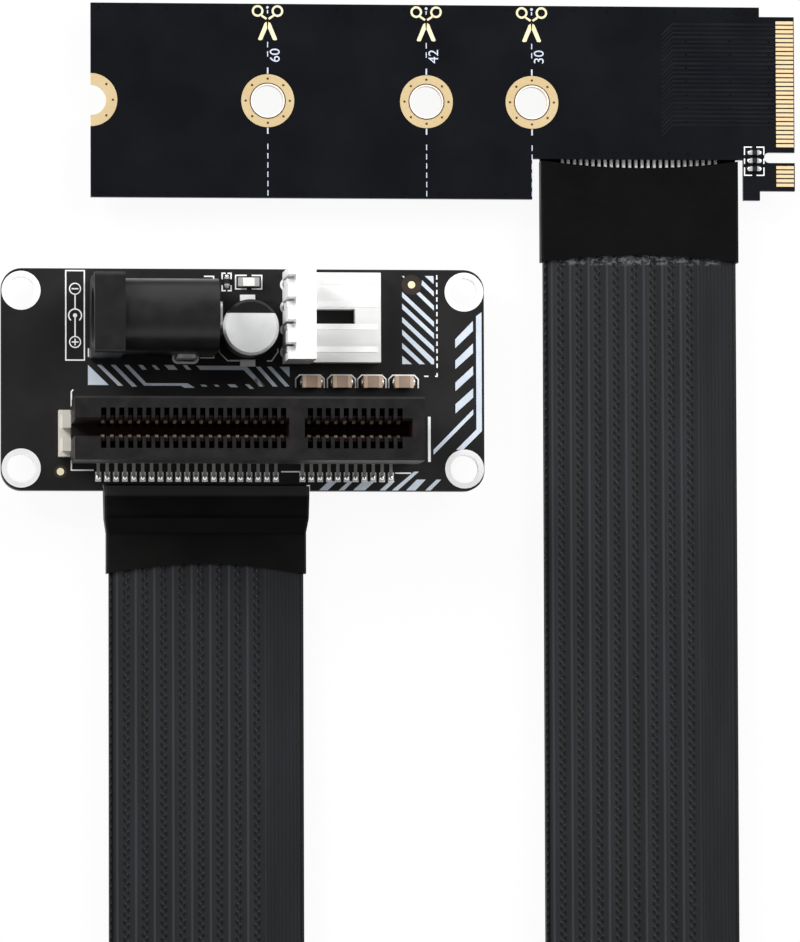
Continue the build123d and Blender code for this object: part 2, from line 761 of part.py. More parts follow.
# Sleeve at the slot board: thicker and wider where it meets the board's edge
board_sleeve_top_y = board_notch_y - edge_gap
board_sleeve_bottom_y = board_sleeve_top_y - board_sleeve_length
board_sleeve_straight_y = board_sleeve_top_y - board_sleeve_shape[-1][0]
with BuildPart() as board_sleeve:
    for distance, share in board_sleeve_shape:
        height = sleeve_height + share * board_sleeve_hump
        width = sleeve_width + 2 * share * board_sleeve_flare
        with BuildSketch(Plane.XZ.offset(distance - board_sleeve_top_y)):
            with Locations((board_run_x, table_z + height / 2)):
                section = Rectangle(width, height)
                chamfer(section.vertices(), length=sleeve_corner)
    loft(ruled=True)
    with BuildSketch(Plane.XZ.offset(-board_sleeve_straight_y)):
        with Locations((board_run_x, table_z + sleeve_height / 2)):
            section = Rectangle(sleeve_width, sleeve_height)
            chamfer(section.vertices(), length=sleeve_corner)
    extrude(amount=board_sleeve_straight_y - board_sleeve_bottom_y)
    add(sleeve_cavity(board_run_x, board_sleeve_top_y, board_sleeve_length), mode=Mode.SUBTRACT)
    add(end_bow(board_run_x, board_sleeve_bottom_y, board_sleeve_arc_rise, -1), mode=Mode.SUBTRACT)

# Ribbon route: flat on the table to the end of each run, then rolled on edge for the bend
card_ribbon_end = cutout_y - wire_bare_length
board_ribbon_end = board_notch_y - wire_bare_length
bend_y = flat_end_y - roll_length


def ribbon_plane(run_x, y, angle, side):
    """Plane across one ribbon of the pair, its band edge turned down by an angle."""
    turn = radians(angle)
    normal_x, normal_z = sin(turn), cos(turn)
    flat_height = sleeve_clearance + sleeve_wall + stack_thickness / 2
    centre_z = table_z + flat_height * cos(turn) + ribbon_width / 2 * sin(turn)
    step = side * ribbon_step / 2
    return Plane(
        origin=(run_x + normal_x * step, y, centre_z + normal_z * step),
        x_dir=(cos(turn), 0, -sin(turn)),
        z_dir=(0, -1, 0),
    )


def ribbon_corners(run_x, side, share):
    """Corners of one ribbon's section part of the way along a roll."""
    angle = 45 * (1 - cos(pi * share))
    plane = ribbon_plane(run_x, flat_end_y - share * roll_length, angle, side)
    half_width, half_thickness = ribbon_width / 2, ribbon_thickness / 2
    signs = ((-1, -1), (1, -1), (1, 1), (-1, 1))
    return [plane.from_local_coords((i * half_width, j * half_thickness)) for i, j in signs]


def roll(run_x, side):
    """Roll of one ribbon, flat to on edge, as one solid of plane triangles."""
    stations = [ribbon_corners(run_x, side, i / roll_steps) for i in range(roll_steps + 1)]
    faces = [Face(Wire.make_polygon(stations[0])), Face(Wire.make_polygon(stations[-1]))]
    for near, far in zip(stations, stations[1:]):
        for i in range(4):
            k = (i + 1) % 4
            start, end = (i, k) if i < 2 else (k, i)
            faces.append(Face(Wire.make_polygon([near[start], near[end], far[end]])))
            faces.append(Face(Wire.make_polygon([near[start], far[end], far[start]])))
    return Solid(Shell(faces))


def ribbon(side):
    """One flat cable of the pair: side 1 is on top at the drive card, side -1 below."""
    with BuildPart() as cable:
        with BuildSketch(ribbon_plane(card_run_x, card_ribbon_end, 0, side)):
            Rectangle(ribbon_width, ribbon_thickness)
        extrude(amount=card_ribbon_end - flat_end_y)
        add(roll(card_run_x, side))
        with BuildSketch(ribbon_plane(card_run_x, bend_y, 90, side)):
            Rectangle(ribbon_width, ribbon_thickness)
        revolve(axis=Axis((*bend_centre, 0), (0, 0, -1)), revolution_arc=180)
        add(roll(board_run_x, -side))
        with BuildSketch(ribbon_plane(board_run_x, board_ribbon_end, 0, -side)):
            Rectangle(ribbon_width, ribbon_thickness)
        extrude(amount=board_ribbon_end - flat_end_y)
    radius = bend_radius + side * ribbon_step / 2
    print("ribbon", side, "bend radius", radius, "volume", round(cable.part.volume, 1))
    print("length from its section", round(cable.part.volume / ribbon_width / ribbon_thickness, 1))
    return cable


outer_ribbon = ribbon(1)
inner_ribbon = ribbon(-1)

# Labels and files
slot_board.part.label = "slot_board"
export_step(slot_board.part, "parts/slot_board.step")
screw_eyelets.part.label = "screw_eyelets"
export_step(screw_eyelets.part, "parts/screw_eyelets.step")
slot_housing.part.label = "slot_housing"
export_step(slot_housing.part, "parts/slot_housing.step")
slot_contacts_front.part.label = "slot_contacts_front"
export_step(slot_contacts_front.part, "parts/slot_contacts_front.step")
slot_contacts_back.part.label = "slot_contacts_back"
export_step(slot_contacts_back.part, "parts/slot_contacts_back.step")
slot_end_block.part.label = "slot_end_block"
export_step(slot_end_block.part, "parts/slot_end_block.step")
jack_housing.part.label = "jack_housing"
export_step(jack_housing.part, "parts/jack_housing.step")
jack_centre_pin.part.label = "jack_centre_pin"
export_step(jack_centre_pin.part, "parts/jack_centre_pin.step")
jack_rear_terminal.part.label = "jack_rear_terminal"
export_step(jack_rear_terminal.part, "parts/jack_rear_terminal.step")
jack_side_terminal.part.label = "jack_side_terminal"
export_step(jack_side_terminal.part, "parts/jack_side_terminal.step")
jack_spring_terminal.part.label = "jack_spring_terminal"
export_step(jack_spring_terminal.part, "parts/jack_spring_terminal.step")
capacitor_base.part.label = "capacitor_base"
export_step(capacitor_base.part, "parts/capacitor_base.step")
capacitor_can.part.label = "capacitor_can"
export_step(capacitor_can.part, "parts/capacitor_can.step")
capacitor_tabs.part.label = "capacitor_tabs"
export_step(capacitor_tabs.part, "parts/capacitor_tabs.step")
header_housing.part.label = "header_housing"
export_step(header_housing.part, "parts/header_housing.step")
header_pins.part.label = "header_pins"
export_step(header_pins.part, "parts/header_pins.step")
light_body.part.label = "light_body"
export_step(light_body.part, "parts/light_body.step")
light_ends.part.label = "light_ends"
export_step(light_ends.part, "parts/light_ends.step")
board_resistor_body.part.label = "board_resistor_body"
export_step(board_resistor_body.part, "parts/board_resistor_body.step")
board_resistor_ends.part.label = "board_resistor_ends"
export_step(board_resistor_ends.part, "parts/board_resistor_ends.step")
drive_card.part.label = "drive_card"
export_step(drive_card.part, "parts/drive_card.step")
screw_ring_30.part.label = "screw_ring_30"
export_step(screw_ring_30.part, "parts/screw_ring_30.step")
screw_ring_42.part.label = "screw_ring_42"
export_step(screw_ring_42.part, "parts/screw_ring_42.step")
screw_ring_60.part.label = "screw_ring_60"
export_step(screw_ring_60.part, "parts/screw_ring_60.step")
screw_ring_80.part.label = "screw_ring_80"
export_step(screw_ring_80.part, "parts/screw_ring_80.step")
fingers_top.part.label = "fingers_top"
export_step(fingers_top.part, "parts/fingers_top.step")
fingers_bottom.part.label = "fingers_bottom"
export_step(fingers_bottom.part, "parts/fingers_bottom.step")
card_wires_upper.part.label = "card_wires_upper"
export_step(card_wires_upper.part, "parts/card_wires_upper.step")
card_wires_lower.part.label = "card_wires_lower"
export_step(card_wires_lower.part, "parts/card_wires_lower.step")
board_wires_upper.part.label = "board_wires_upper"
export_step(board_wires_upper.part, "parts/board_wires_upper.step")
board_wires_lower.part.label = "board_wires_lower"
export_step(board_wires_lower.part, "parts/board_wires_lower.step")
card_sleeve.part.label = "card_sleeve"
export_step(card_sleeve.part, "parts/card_sleeve.step")
board_sleeve.part.label = "board_sleeve"
export_step(board_sleeve.part, "parts/board_sleeve.step")
outer_ribbon.part.label = "outer_ribbon"
export_step(outer_ribbon.part, "parts/outer_ribbon.step")
inner_ribbon.part.label = "inner_ribbon"
export_step(inner_ribbon.part, "parts/inner_ribbon.step")
for i, (body, ends) in enumerate(zip(ceramic_bodies, ceramic_ends), start=1):
    body.part.label = f"ceramic_body_{i}"
    export_step(body.part, f"parts/ceramic_body_{i}.step")
    ends.part.label = f"ceramic_ends_{i}"
    export_step(ends.part, f"parts/ceramic_ends_{i}.step")
for i, (body, ends) in enumerate(zip(card_resistor_bodies, card_resistor_ends), start=1):
    body.part.label = f"card_resistor_body_{i}"
    export_step(body.part, f"parts/card_resistor_body_{i}.step")
    ends.part.label = f"card_resistor_ends_{i}"
    export_step(ends.part, f"parts/card_resistor_ends_{i}.step")
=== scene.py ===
import logging
from dataclasses import dataclass
from enum import Enum
from math import cos, pi, radians, sin

import bmesh
import bpy
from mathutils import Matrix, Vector


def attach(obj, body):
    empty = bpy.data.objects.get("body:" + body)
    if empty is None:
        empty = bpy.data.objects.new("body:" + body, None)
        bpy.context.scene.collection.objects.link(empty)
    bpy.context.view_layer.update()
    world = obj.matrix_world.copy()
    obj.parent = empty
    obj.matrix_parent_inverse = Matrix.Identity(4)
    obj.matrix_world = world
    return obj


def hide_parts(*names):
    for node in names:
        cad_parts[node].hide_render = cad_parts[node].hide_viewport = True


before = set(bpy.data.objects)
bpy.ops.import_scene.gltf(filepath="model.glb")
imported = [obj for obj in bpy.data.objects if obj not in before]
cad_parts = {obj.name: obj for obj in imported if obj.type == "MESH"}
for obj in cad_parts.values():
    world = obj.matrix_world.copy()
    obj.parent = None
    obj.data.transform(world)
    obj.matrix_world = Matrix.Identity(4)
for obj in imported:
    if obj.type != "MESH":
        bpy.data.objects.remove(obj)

log = logging.getLogger("riser")
MM = 0.001

Point = tuple[float, float]
Point3 = tuple[float, float, float]
Colour = tuple[float, float, float, float]
Shade = tuple[int, int, int]
Shapes = tuple[tuple[Point, ...], ...]
Outlines = list[list[Point]]
Socket = bpy.types.NodeSocket
Piece = bpy.types.Object


def linear(red: int, green: int, blue: int) -> Colour:
    """Turns a colour given as 0 to 255 display values into scene-linear values.

    Args:
        red: Red display value.
        green: Green display value.
        blue: Blue display value.

    Returns:
        The linear colour with an alpha of 1.
    """

    def channel(value: int) -> float:
        """Linear value of one display channel."""
        share = value / 255
        return share / 12.92 if share <= 0.04045 else ((share + 0.055) / 1.055) ** 2.4

    return channel(red), channel(green), channel(blue), 1.0


class Grain(Enum):
    """Kinds of surface structure; all but the plain one have a stretch or relief of their own."""

    PLAIN = "plain"
    BRUSHED = "brushed"
    FILM = "film"
    SOLDERED = "soldered"


@dataclass(frozen=True)
class Tint:
    """A colour that takes over inside a region, each side of it fading in along one axis.

    Every fade is an axis, the place in millimetres where the tint is still absent
    and the place where it is full.
    """

    colour: Shade
    fades: tuple[tuple[str, float, float], ...]


class NodeBench:
    """Node tree of one material, with short calls for the nodes that finishes need."""

    def __init__(self, name: str) -> None:
        """Starts a material with its principled shader.

        Args:
            name: The name.
        """
        self.material = bpy.data.materials.new(name)
        self.material.use_nodes = True
        self.tree = self.material.node_tree
        self.shader = self.tree.nodes["Principled BSDF"]

    def add(self, kind: str, **settings: object) -> bpy.types.Node:
        """Adds a node.

        Args:
            kind: Blender's name of the node type.
            settings: Node properties to set.

        Returns:
            The new node.
        """
        node = self.tree.nodes.new(kind)
        for key, value in settings.items():
            setattr(node, key, value)
        return node

    def join(self, source: Socket, target: Socket) -> None:
        """Links an output to an input."""
        self.tree.links.new(source, target)

    def millimetres(self, stretch: Point3 = (1, 1, 1)) -> Socket:
        """Object coordinates in millimetres.

        Args:
            stretch: Extra scale along each axis.

        Returns:
            The vector output.
        """
        coordinates = self.add("ShaderNodeTexCoord")
        mapping = self.add("ShaderNodeMapping")
        mapping.inputs["Scale"].default_value = tuple(1000 * factor for factor in stretch)
        self.join(coordinates.outputs["Object"], mapping.inputs["Vector"])
        return mapping.outputs["Vector"]

    def noise(self, vector: Socket, size: float, detail: float = 3, rough: float = 0.5) -> Socket:
        """Adds a noise texture.

        Args:
            vector: Where the noise is read.
            size: Size of its features in millimetres.
            detail: Number of finer layers.
            rough: Strength of the finer layers.

        Returns:
            The noise output.
        """
        texture = self.add("ShaderNodeTexNoise")
        texture.inputs["Scale"].default_value = 1 / size
        texture.inputs["Detail"].default_value = detail
        texture.inputs["Roughness"].default_value = rough
        self.join(vector, texture.inputs["Vector"])
        return texture.outputs["Fac"]

    def math(self, how: str, first: Socket, second: Socket | float = 0.0) -> Socket:
        """Adds one step of arithmetic.

        Args:
            how: Blender's name of the step.
            first: First operand.
            second: Second operand, an output or a number.

        Returns:
            The result output.
        """
        node = self.add("ShaderNodeMath", operation=how)
        self.join(first, node.inputs[0])
        if isinstance(second, float | int):
            node.inputs[1].default_value = second
        else:
            self.join(second, node.inputs[1])
        return node.outputs[0]

    def spread(self, value: Socket, low: float, high: float, start: float, end: float) -> Socket:
        """Maps a range of a value onto another range, clamped.

        Args:
            value: The value.
            low: Where its range begins.
            high: Where it ends.
            start: Result at the beginning.
            end: Result at the end.

        Returns:
            The result output.
        """
        node = self.add("ShaderNodeMapRange")
        for name, number in zip(
            ("From Min", "From Max", "To Min", "To Max"), (low, high, start, end)
        ):
            node.inputs[name].default_value = number
        self.join(value, node.inputs["Value"])
        return node.outputs["Result"]

    def mix(self, share: Socket, under: Socket | Colour, over: Socket | Colour) -> Socket:
        """Blends two colours.

        Args:
            share: Share of the second colour.
            under: First colour, an output or fixed.
            over: Second colour, an output or fixed.

        Returns:
            The colour output.
        """
        node = self.add("ShaderNodeMix", data_type="RGBA")
        self.join(share, node.inputs["Factor"])
        for socket, value in zip([s for s in node.inputs if s.type == "RGBA"], (under, over)):
            if isinstance(value, tuple):
                socket.default_value = value
            else:
                self.join(value, socket)
        return next(s for s in node.outputs if s.type == "RGBA")

    def region(self, tint: Tint) -> Socket:
        """Finds where a tint applies.

        Args:
            tint: The tint.

        Returns:
            Its share at each place, the product of its fades.
        """
        split = self.add("ShaderNodeSeparateXYZ")
        self.join(self.millimetres(), split.inputs["Vector"])
        share = None
        for axis, absent, full in tint.fades:
            fade = self.spread(split.outputs[axis], absent, full, 0.0, 1.0)
            share = fade if share is None else self.math("MULTIPLY", share, fade)
        return share

    def bump(self, height: Socket, depth: float, under: Socket | None = None) -> Socket:
        """Adds surface relief.

        Args:
            height: Pattern of the relief.
            depth: Its depth in millimetres.
            under: Relief below it.

        Returns:
            The relief output.
        """
        node = self.add("ShaderNodeBump")
        node.inputs["Strength"].default_value = 1.0
        node.inputs["Distance"].default_value = depth * MM
        self.join(height, node.inputs["Height"])
        if under is not None:
            self.join(under, node.inputs["Normal"])
        return node.outputs["Normal"]

    def dress(self, colour: Socket, roughness: Socket, normal: Socket) -> bpy.types.Material:
        """Joins colour, roughness and relief to the shader.

        Args:
            colour: Base colour output.
            roughness: Roughness output.
            normal: Relief output.

        Returns:
            The finished material.
        """
        self.join(colour, self.shader.inputs["Base Color"])
        self.join(roughness, self.shader.inputs["Roughness"])
        self.join(normal, self.shader.inputs["Normal"])
        return self.material


@dataclass(frozen=True)
class Finish:
    """One procedural finish: its colours, gloss and the grain at its real size."""

    STRETCH = {Grain.BRUSHED: (0.12, 1.0, 1.0), Grain.FILM: (0.35, 1.0, 1.0)}
    WAVE_STRETCH = (0.5, 1.0, 1.0)
    BROAD_SIZE, WAVE_SIZE, LUMP_SIZE = 14, 5, 3
    WAVE_DEPTH, LUMP_DEPTH = 9, 6
    COAT_ROUGHNESS = 0.12

    name: str
    colour: Shade
    worn: Shade
    roughness: float
    metallic: float = 0.0
    specular: float = 0.5
    grain: Grain = Grain.PLAIN
    size: float = 0.2
    depth: float = 0.004
    coat: float = 0.0
    tints: tuple[Tint, ...] = ()

    def make(self) -> bpy.types.Material:
        """Builds the material from its nodes.

        Returns:
            The finished material.
        """
        bench = NodeBench(self.name)
        for socket, value in (
            ("Metallic", self.metallic),
            ("Specular IOR Level", self.specular),
            ("Coat Weight", self.coat),
            ("Coat Roughness", self.COAT_ROUGHNESS),
        ):
            bench.shader.inputs[socket].default_value = value
        place = bench.millimetres(self.STRETCH.get(self.grain, (1.0, 1.0, 1.0)))
        fine = bench.noise(place, self.size, 4, 0.6)
        broad = bench.noise(bench.millimetres(), self.size * self.BROAD_SIZE, 3, 0.5)
        share = bench.spread(broad, 0.35, 0.65, 0.0, 1.0)
        colour = bench.mix(share, linear(*self.colour), linear(*self.worn))
        for tint in self.tints:
            colour = bench.mix(bench.region(tint), colour, linear(*tint.colour))
        parts = [
            bench.math("MULTIPLY", part, weight) for part, weight in ((broad, 0.6), (fine, 0.4))
        ]
        low, high = max(0.04, self.roughness * 0.8), min(1.0, self.roughness * 1.2)
        roughness = bench.spread(bench.math("ADD", *parts), 0.3, 0.7, low, high)
        normal = bench.bump(fine, self.depth)
        if self.grain is Grain.FILM:
            waves = bench.millimetres(self.WAVE_STRETCH)
            waves = bench.noise(waves, self.size * self.WAVE_SIZE, 2, 0.4)
            normal = bench.bump(waves, self.depth * self.WAVE_DEPTH, normal)
        if self.grain is Grain.SOLDERED:
            lumps = bench.noise(place, self.size * self.LUMP_SIZE, 1, 0.3)
            normal = bench.bump(lumps, self.depth * self.LUMP_DEPTH, normal)
        return bench.dress(colour, roughness, normal)


class Finishes:
    """The finishes of the whole riser, each made once and handed out by name."""

    STOCK = (
        Finish("laminate", (34, 33, 33), (40, 39, 39), 0.4, specular=0.14, size=0.5, coat=0.03),
        Finish("card_laminate", (15, 16, 20), (18, 19, 23), 0.35, specular=0.12, size=0.5,
               depth=0.003, coat=0.03),
        Finish("bright_tin", (252, 252, 251), (240, 240, 241), 0.42, 0.1, size=0.25, depth=0.006),
        Finish("tin", (226, 226, 224), (206, 207, 208), 0.36, 0.6, size=0.25, depth=0.006),
        Finish("gold", (232, 208, 162), (220, 194, 146), 0.42, 0.35, size=0.3),
        Finish("finger_gold", (250, 226, 182), (240, 212, 166), 0.42, 0.3, size=0.3),
        Finish("pale_gold", (250, 242, 206), (240, 228, 186), 0.45, 0.2, size=0.3),
        Finish(
            "contact_metal", (190, 188, 184), (160, 158, 154), 0.34, 0.6,
            tints=(
                # Darker plating above the bend, made darker still as painted shade of the deep
                # pockets; the gold at the tips is plating.
                Tint((62, 54, 52), (("Z", 4.0, 5.0),)),
                Tint((226, 204, 172), (("Z", 4.0, 5.0), ("Y", -7.15, -6.95), ("Y", -5.15, -5.35))),
            ),
        ),
        Finish("solder", (252, 252, 252), (236, 236, 238), 0.2, 0.9, grain=Grain.SOLDERED,
               depth=0.012),
        Finish(
            "slot_plastic", (27, 26, 27), (33, 31, 32), 0.42, specular=0.2, size=0.12,
            tints=(
                Tint((78, 24, 28), (
                    ("Z", 12.2, 10.8), ("Z", 4.6, 5.0), ("Y", -8.55, -8.4), ("Y", -3.75, -3.9),
                    ("X", -19.0, -14.5), ("X", 18.6, 18.1),
                )),
            ),
        ),
        Finish("base_plastic", (22, 22, 23), (28, 28, 29), 0.42, specular=0.2, size=0.12),
        Finish("jack_plastic", (28, 28, 29), (34, 34, 35), 0.32, specular=0.3, size=0.15,
               depth=0.003),
        Finish("ivory_nylon", (216, 213, 204), (204, 200, 190), 0.45, size=0.3, depth=0.01),
        Finish("white_nylon", (246, 246, 245), (238, 238, 237), 0.42, size=0.3, depth=0.008),
        Finish(
            "can_aluminium", (250, 250, 250), (240, 241, 242), 0.42, 0.05, grain=Grain.BRUSHED,
            size=0.15, depth=0.006,
            tints=(
                Tint((104, 105, 107), (("Z", 6.75, 6.45),)),
                Tint((22, 22, 24), (("Z", 6.2, 6.3), ("Y", 7.1, 7.14))),
            ),
        ),
        Finish("light_lens", (250, 248, 238), (238, 238, 228), 0.2, size=0.3, coat=0.5),
        Finish("ceramic_tan", (176, 154, 136), (156, 134, 118), 0.5, depth=0.012),
        Finish("resistor_black", (30, 30, 32), (44, 44, 46), 0.4, size=0.15, depth=0.006),
        Finish(
            "shrink_film", (14, 14, 14), (18, 18, 17), 0.5, specular=0.07, grain=Grain.FILM,
            size=0.5, depth=0.006,
            tints=(
                # Painted light: lighter strip on top of the board sleeve, where the slot's shadow
                # falls.
                Tint((52, 50, 50), (("X", 20.1, 20.0), ("Y", -13.2, -12.9))),
                Tint((9, 9, 9), (("X", 20.0, 20.1),)),
                # Painted shade: a near-black band across the sleeve's slope down to the table.
                Tint((4, 4, 4), (("Y", -15.0, -15.5), ("Y", -17.6, -17.0))),
            ),
        ),
        Finish("wire_film", (30, 30, 31), (40, 40, 41), 0.4, specular=0.2, grain=Grain.BRUSHED),
        Finish("warm_tin", (232, 206, 184), (214, 184, 160), 0.4, 0.3, depth=0.008),
        Finish("print_pale", (208, 217, 228), (196, 206, 218), 0.6, size=0.15, depth=0.006),
        Finish("print_blue", (206, 212, 228), (190, 198, 216), 0.6, size=0.15, depth=0.006),
        Finish("bare_laminate", (38, 26, 19), (46, 32, 23), 0.6, depth=0.006),
        Finish("trace_copper", (20, 21, 26), (24, 25, 30), 0.35, specular=0.2, size=0.3, coat=0.05),
        Finish("via_dark", (5, 5, 6), (8, 8, 9), 0.5, specular=0.1),
        # Brown of the ring vias, also used for the painted shade line round each screw hole.
        Finish("via_brown_and_painted_shade", (70, 50, 26), (84, 60, 30), 0.6, specular=0.2),
        Finish("print_white", (250, 250, 250), (236, 237, 238), 0.6, size=0.15, depth=0.006),
    )

    def __init__(self) -> None:
        """Makes every stock finish."""
        self.made: dict[str, bpy.types.Material] = {f.name: f.make() for f in self.STOCK}

    def put(self, piece: Piece, name: str) -> None:
        """Gives a piece one finish over all its material slots.

        Args:
            piece: The piece.
            name: Name of the finish.
        """
        material = self.made[name]
        if not piece.material_slots:
            piece.data.materials.append(material)
        for slot in piece.material_slots:
            slot.material = material

    def keep(self, name: str, material: bpy.types.Material) -> None:
        """Adds a finish made elsewhere."""
        self.made[name] = material

    def lay(
        self, name: str, outlines: Outlines, level: float, thickness: float,
        finish: str, slot: str,
    ) -> None:
        """Lays one printed or plated layer on a face and lets it ride.

        Args:
            name: Name of the piece.
            outlines: Its closed outlines in millimetres.
            level: Height of the face in millimetres.
            thickness: Thickness of the layer in millimetres.
            finish: Name of the finish it gets.
            slot: Name of a slot, handed on to ride.
        """
        piece = Workbench.flat(name, outlines, level, thickness)
        self.put(piece, finish)
        Workbench.ride(piece, slot)


class Workbench:
    """Blender's own operators, wrapped for pieces that ride on the model."""

    @staticmethod
    def clear() -> None:
        """Deselects everything."""
        if bpy.context.object and bpy.context.object.mode != "OBJECT":
            bpy.ops.object.mode_set(mode="OBJECT")
        bpy.ops.object.select_all(action="DESELECT")

    @classmethod
    def pick(cls, piece: Piece) -> None:
        """Selects one piece and makes it active.

        Args:
            piece: The piece.
        """
        cls.clear()
        piece.select_set(True)
        bpy.context.view_layer.objects.active = piece

    @classmethod
    def settle(cls, piece: Piece) -> Piece:
        """Applies a piece's place to its mesh and sets its normals outwards.

        Args:
            piece: The piece to finish.

        Returns:
            The same piece, at the origin.
        """
        cls.pick(piece)
        bpy.ops.object.transform_apply(location=True, rotation=True, scale=True)
        bpy.ops.object.mode_set(mode="EDIT")
        bpy.ops.mesh.select_all(action="SELECT")
        bpy.ops.mesh.remove_doubles(threshold=1e-7)
        bpy.ops.mesh.normals_make_consistent(inside=False)
        bpy.ops.object.mode_set(mode="OBJECT")
        cls.clear()
        return piece

    @classmethod
    def flat(cls, name: str, outlines: Outlines, level: float, thickness: float) -> Piece:
        """Thin printed or plated shapes on a level face.

        Args:
            name: Name of the piece.
            outlines: Closed outlines in millimetres; one inside another makes a hole.
            level: Height of the face in millimetres.
            thickness: Thickness of the layer in millimetres.

        Returns:
            The piece.
        """
        cls.clear()
        curve = bpy.data.curves.new(name, "CURVE")
        curve.dimensions = "2D"
        curve.fill_mode = "BOTH"
        curve.extrude = thickness / 2 * MM
        for outline in outlines:
            spline = curve.splines.new("POLY")
            spline.points.add(len(outline) - 1)
            for point, (x, y) in zip(spline.points, outline):
                point.co = (x * MM, y * MM, 0, 1)
            spline.use_cyclic_u = True
        piece = bpy.data.objects.new(name, curve)
        bpy.context.collection.objects.link(piece)
        piece.location.z = (level + thickness / 2) * MM
        cls.pick(piece)
        bpy.ops.object.convert(target="MESH")
        return cls.settle(bpy.context.object)

    @staticmethod
    def ride(piece: Piece, slot: str) -> None:
        """Lets a piece ride on the model.

        Args:
            piece: The piece.
            slot: Name of the slot; not used.
        """
        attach(piece, "root")
        log.info("piece %s rides on root, %d faces", piece.name, len(piece.data.polygons))


@dataclass(frozen=True)
class Lamp:
    """One soft square lamp: where it hangs and what it faces in millimetres, side and watts."""

    name: str
    place: Point3
    target: Point3
    size: float
    power: float


@dataclass
class Studio:
    """Pale floor, soft lights, white surroundings and the camera."""

    floor_level: float = -1.9
    floor_white: float = 0.93
    camera_place: Point3 = (-67.31, -63.31, 900.0)
    camera_turn: Point3 = (3.384, -5.393, -0.193)
    lens: float = 306.67
    sensor: float = 36.0
    lamps: tuple[Lamp, ...] = (
        Lamp("key_panel", (-430, 380, 330), (20, -10, 0), 300, 4.3),
        Lamp("fill_panel", (470, 240, 330), (20, -10, 0), 340, 2.9),
    )
    sky_strength: float = 1.1
    sky_fade: tuple[tuple[str, float], ...] = (
        ("From Min", 0.45), ("From Max", 0.9), ("To Min", 1.0), ("To Max", 0.08),
    )

    def build(self) -> None:
        """Sets up the camera, floor, lamps and surroundings."""
        self.place_camera()
        self.lay_floor()
        for lamp in self.lamps:
            self.hang_lamp(lamp)
        self.light_world()
        bpy.context.scene.view_settings.view_transform = "Standard"

    def place_camera(self) -> None:
        """Stands the camera over the object, as the photograph does."""
        data = bpy.data.cameras.new("camera")
        data.sensor_fit = "VERTICAL"
        data.sensor_height = self.sensor
        data.lens = self.lens
        data.clip_start = 0.01
        data.clip_end = 20
        camera = bpy.data.objects.new("camera", data)
        camera.location = [value * MM for value in self.camera_place]
        camera.rotation_euler = [radians(angle) for angle in self.camera_turn]
        bpy.context.collection.objects.link(camera)
        bpy.context.scene.camera = camera

    def lay_floor(self) -> None:
        """Lays the floor, white to the camera but with the object's shadow."""
        Workbench.clear()
        bpy.ops.mesh.primitive_plane_add(size=6, location=(0, 0, self.floor_level * MM))
        floor = bpy.context.object
        floor.name = "floor"
        bench = NodeBench("floor_paper")
        grain = bench.noise(bench.millimetres(), 1.5, 3)
        share = bench.spread(grain, 0.3, 0.7, 0.0, 1.0)
        paper = bench.mix(share, linear(236, 236, 236), linear(240, 240, 240))
        bench.join(paper, bench.shader.inputs["Base Color"])
        bench.shader.inputs["Roughness"].default_value = 0.9
        bench.shader.inputs["Specular IOR Level"].default_value = 0.1
        self.whiten(bench, bench.shader.outputs["BSDF"], self.floor_white)
        floor.data.materials.append(bench.material)

    @staticmethod
    def whiten(bench: NodeBench, shader: Socket, share: float) -> None:
        """Mixes plain white into a surface for the camera, mirrors and glass.

        Args:
            bench: The material's bench.
            shader: The surface shader.
            share: How much of the white those rays see.
        """
        rays = bench.add("ShaderNodeLightPath")
        seen = bench.math("MAXIMUM", rays.outputs["Is Camera Ray"], rays.outputs["Is Glossy Ray"])
        seen = bench.math("MAXIMUM", seen, rays.outputs["Is Transmission Ray"])
        glow = bench.add("ShaderNodeEmission")
        glow.inputs["Strength"].default_value = 1.0
        mix = bench.add("ShaderNodeMixShader")
        bench.join(bench.math("MULTIPLY", seen, share), mix.inputs["Fac"])
        bench.join(shader, mix.inputs[1])
        bench.join(glow.outputs["Emission"], mix.inputs[2])
        output = bench.tree.nodes["Material Output"]
        bench.join(mix.outputs["Shader"], output.inputs["Surface"])

    @staticmethod
    def hang_lamp(lamp: Lamp) -> None:
        """Hangs one lamp and turns it to its target.

        Args:
            lamp: The lamp.
        """
        data = bpy.data.lights.new(lamp.name, "AREA")
        data.shape = "SQUARE"
        data.size = lamp.size * MM
        data.energy = lamp.power
        panel = bpy.data.objects.new(lamp.name, data)
        panel.location = [value * MM for value in lamp.place]
        aim = Vector(lamp.target) - Vector(lamp.place)
        panel.rotation_euler = aim.to_track_quat("-Z", "Y").to_euler()
        bpy.context.collection.objects.link(panel)

    def light_world(self) -> None:
        """Gives even light from all round, weak from straight above."""
        world = bpy.data.worlds.new("surroundings")
        bpy.context.scene.world = world
        world.use_nodes = True
        tree = world.node_tree
        background = tree.nodes["Background"]
        background.inputs["Strength"].default_value = self.sky_strength
        place = tree.nodes.new("ShaderNodeTexCoord")
        split = tree.nodes.new("ShaderNodeSeparateXYZ")
        fade = tree.nodes.new("ShaderNodeMapRange")
        fade.interpolation_type = "SMOOTHSTEP"
        for name, number in self.sky_fade:
            fade.inputs[name].default_value = number
        tree.links.new(place.outputs["Generated"], split.inputs["Vector"])
        tree.links.new(split.outputs["Z"], fade.inputs["Value"])
        tree.links.new(fade.outputs["Result"], background.inputs["Color"])
        surface = tree.nodes["World Output"].inputs["Surface"]
        tree.links.new(background.outputs["Background"], surface)


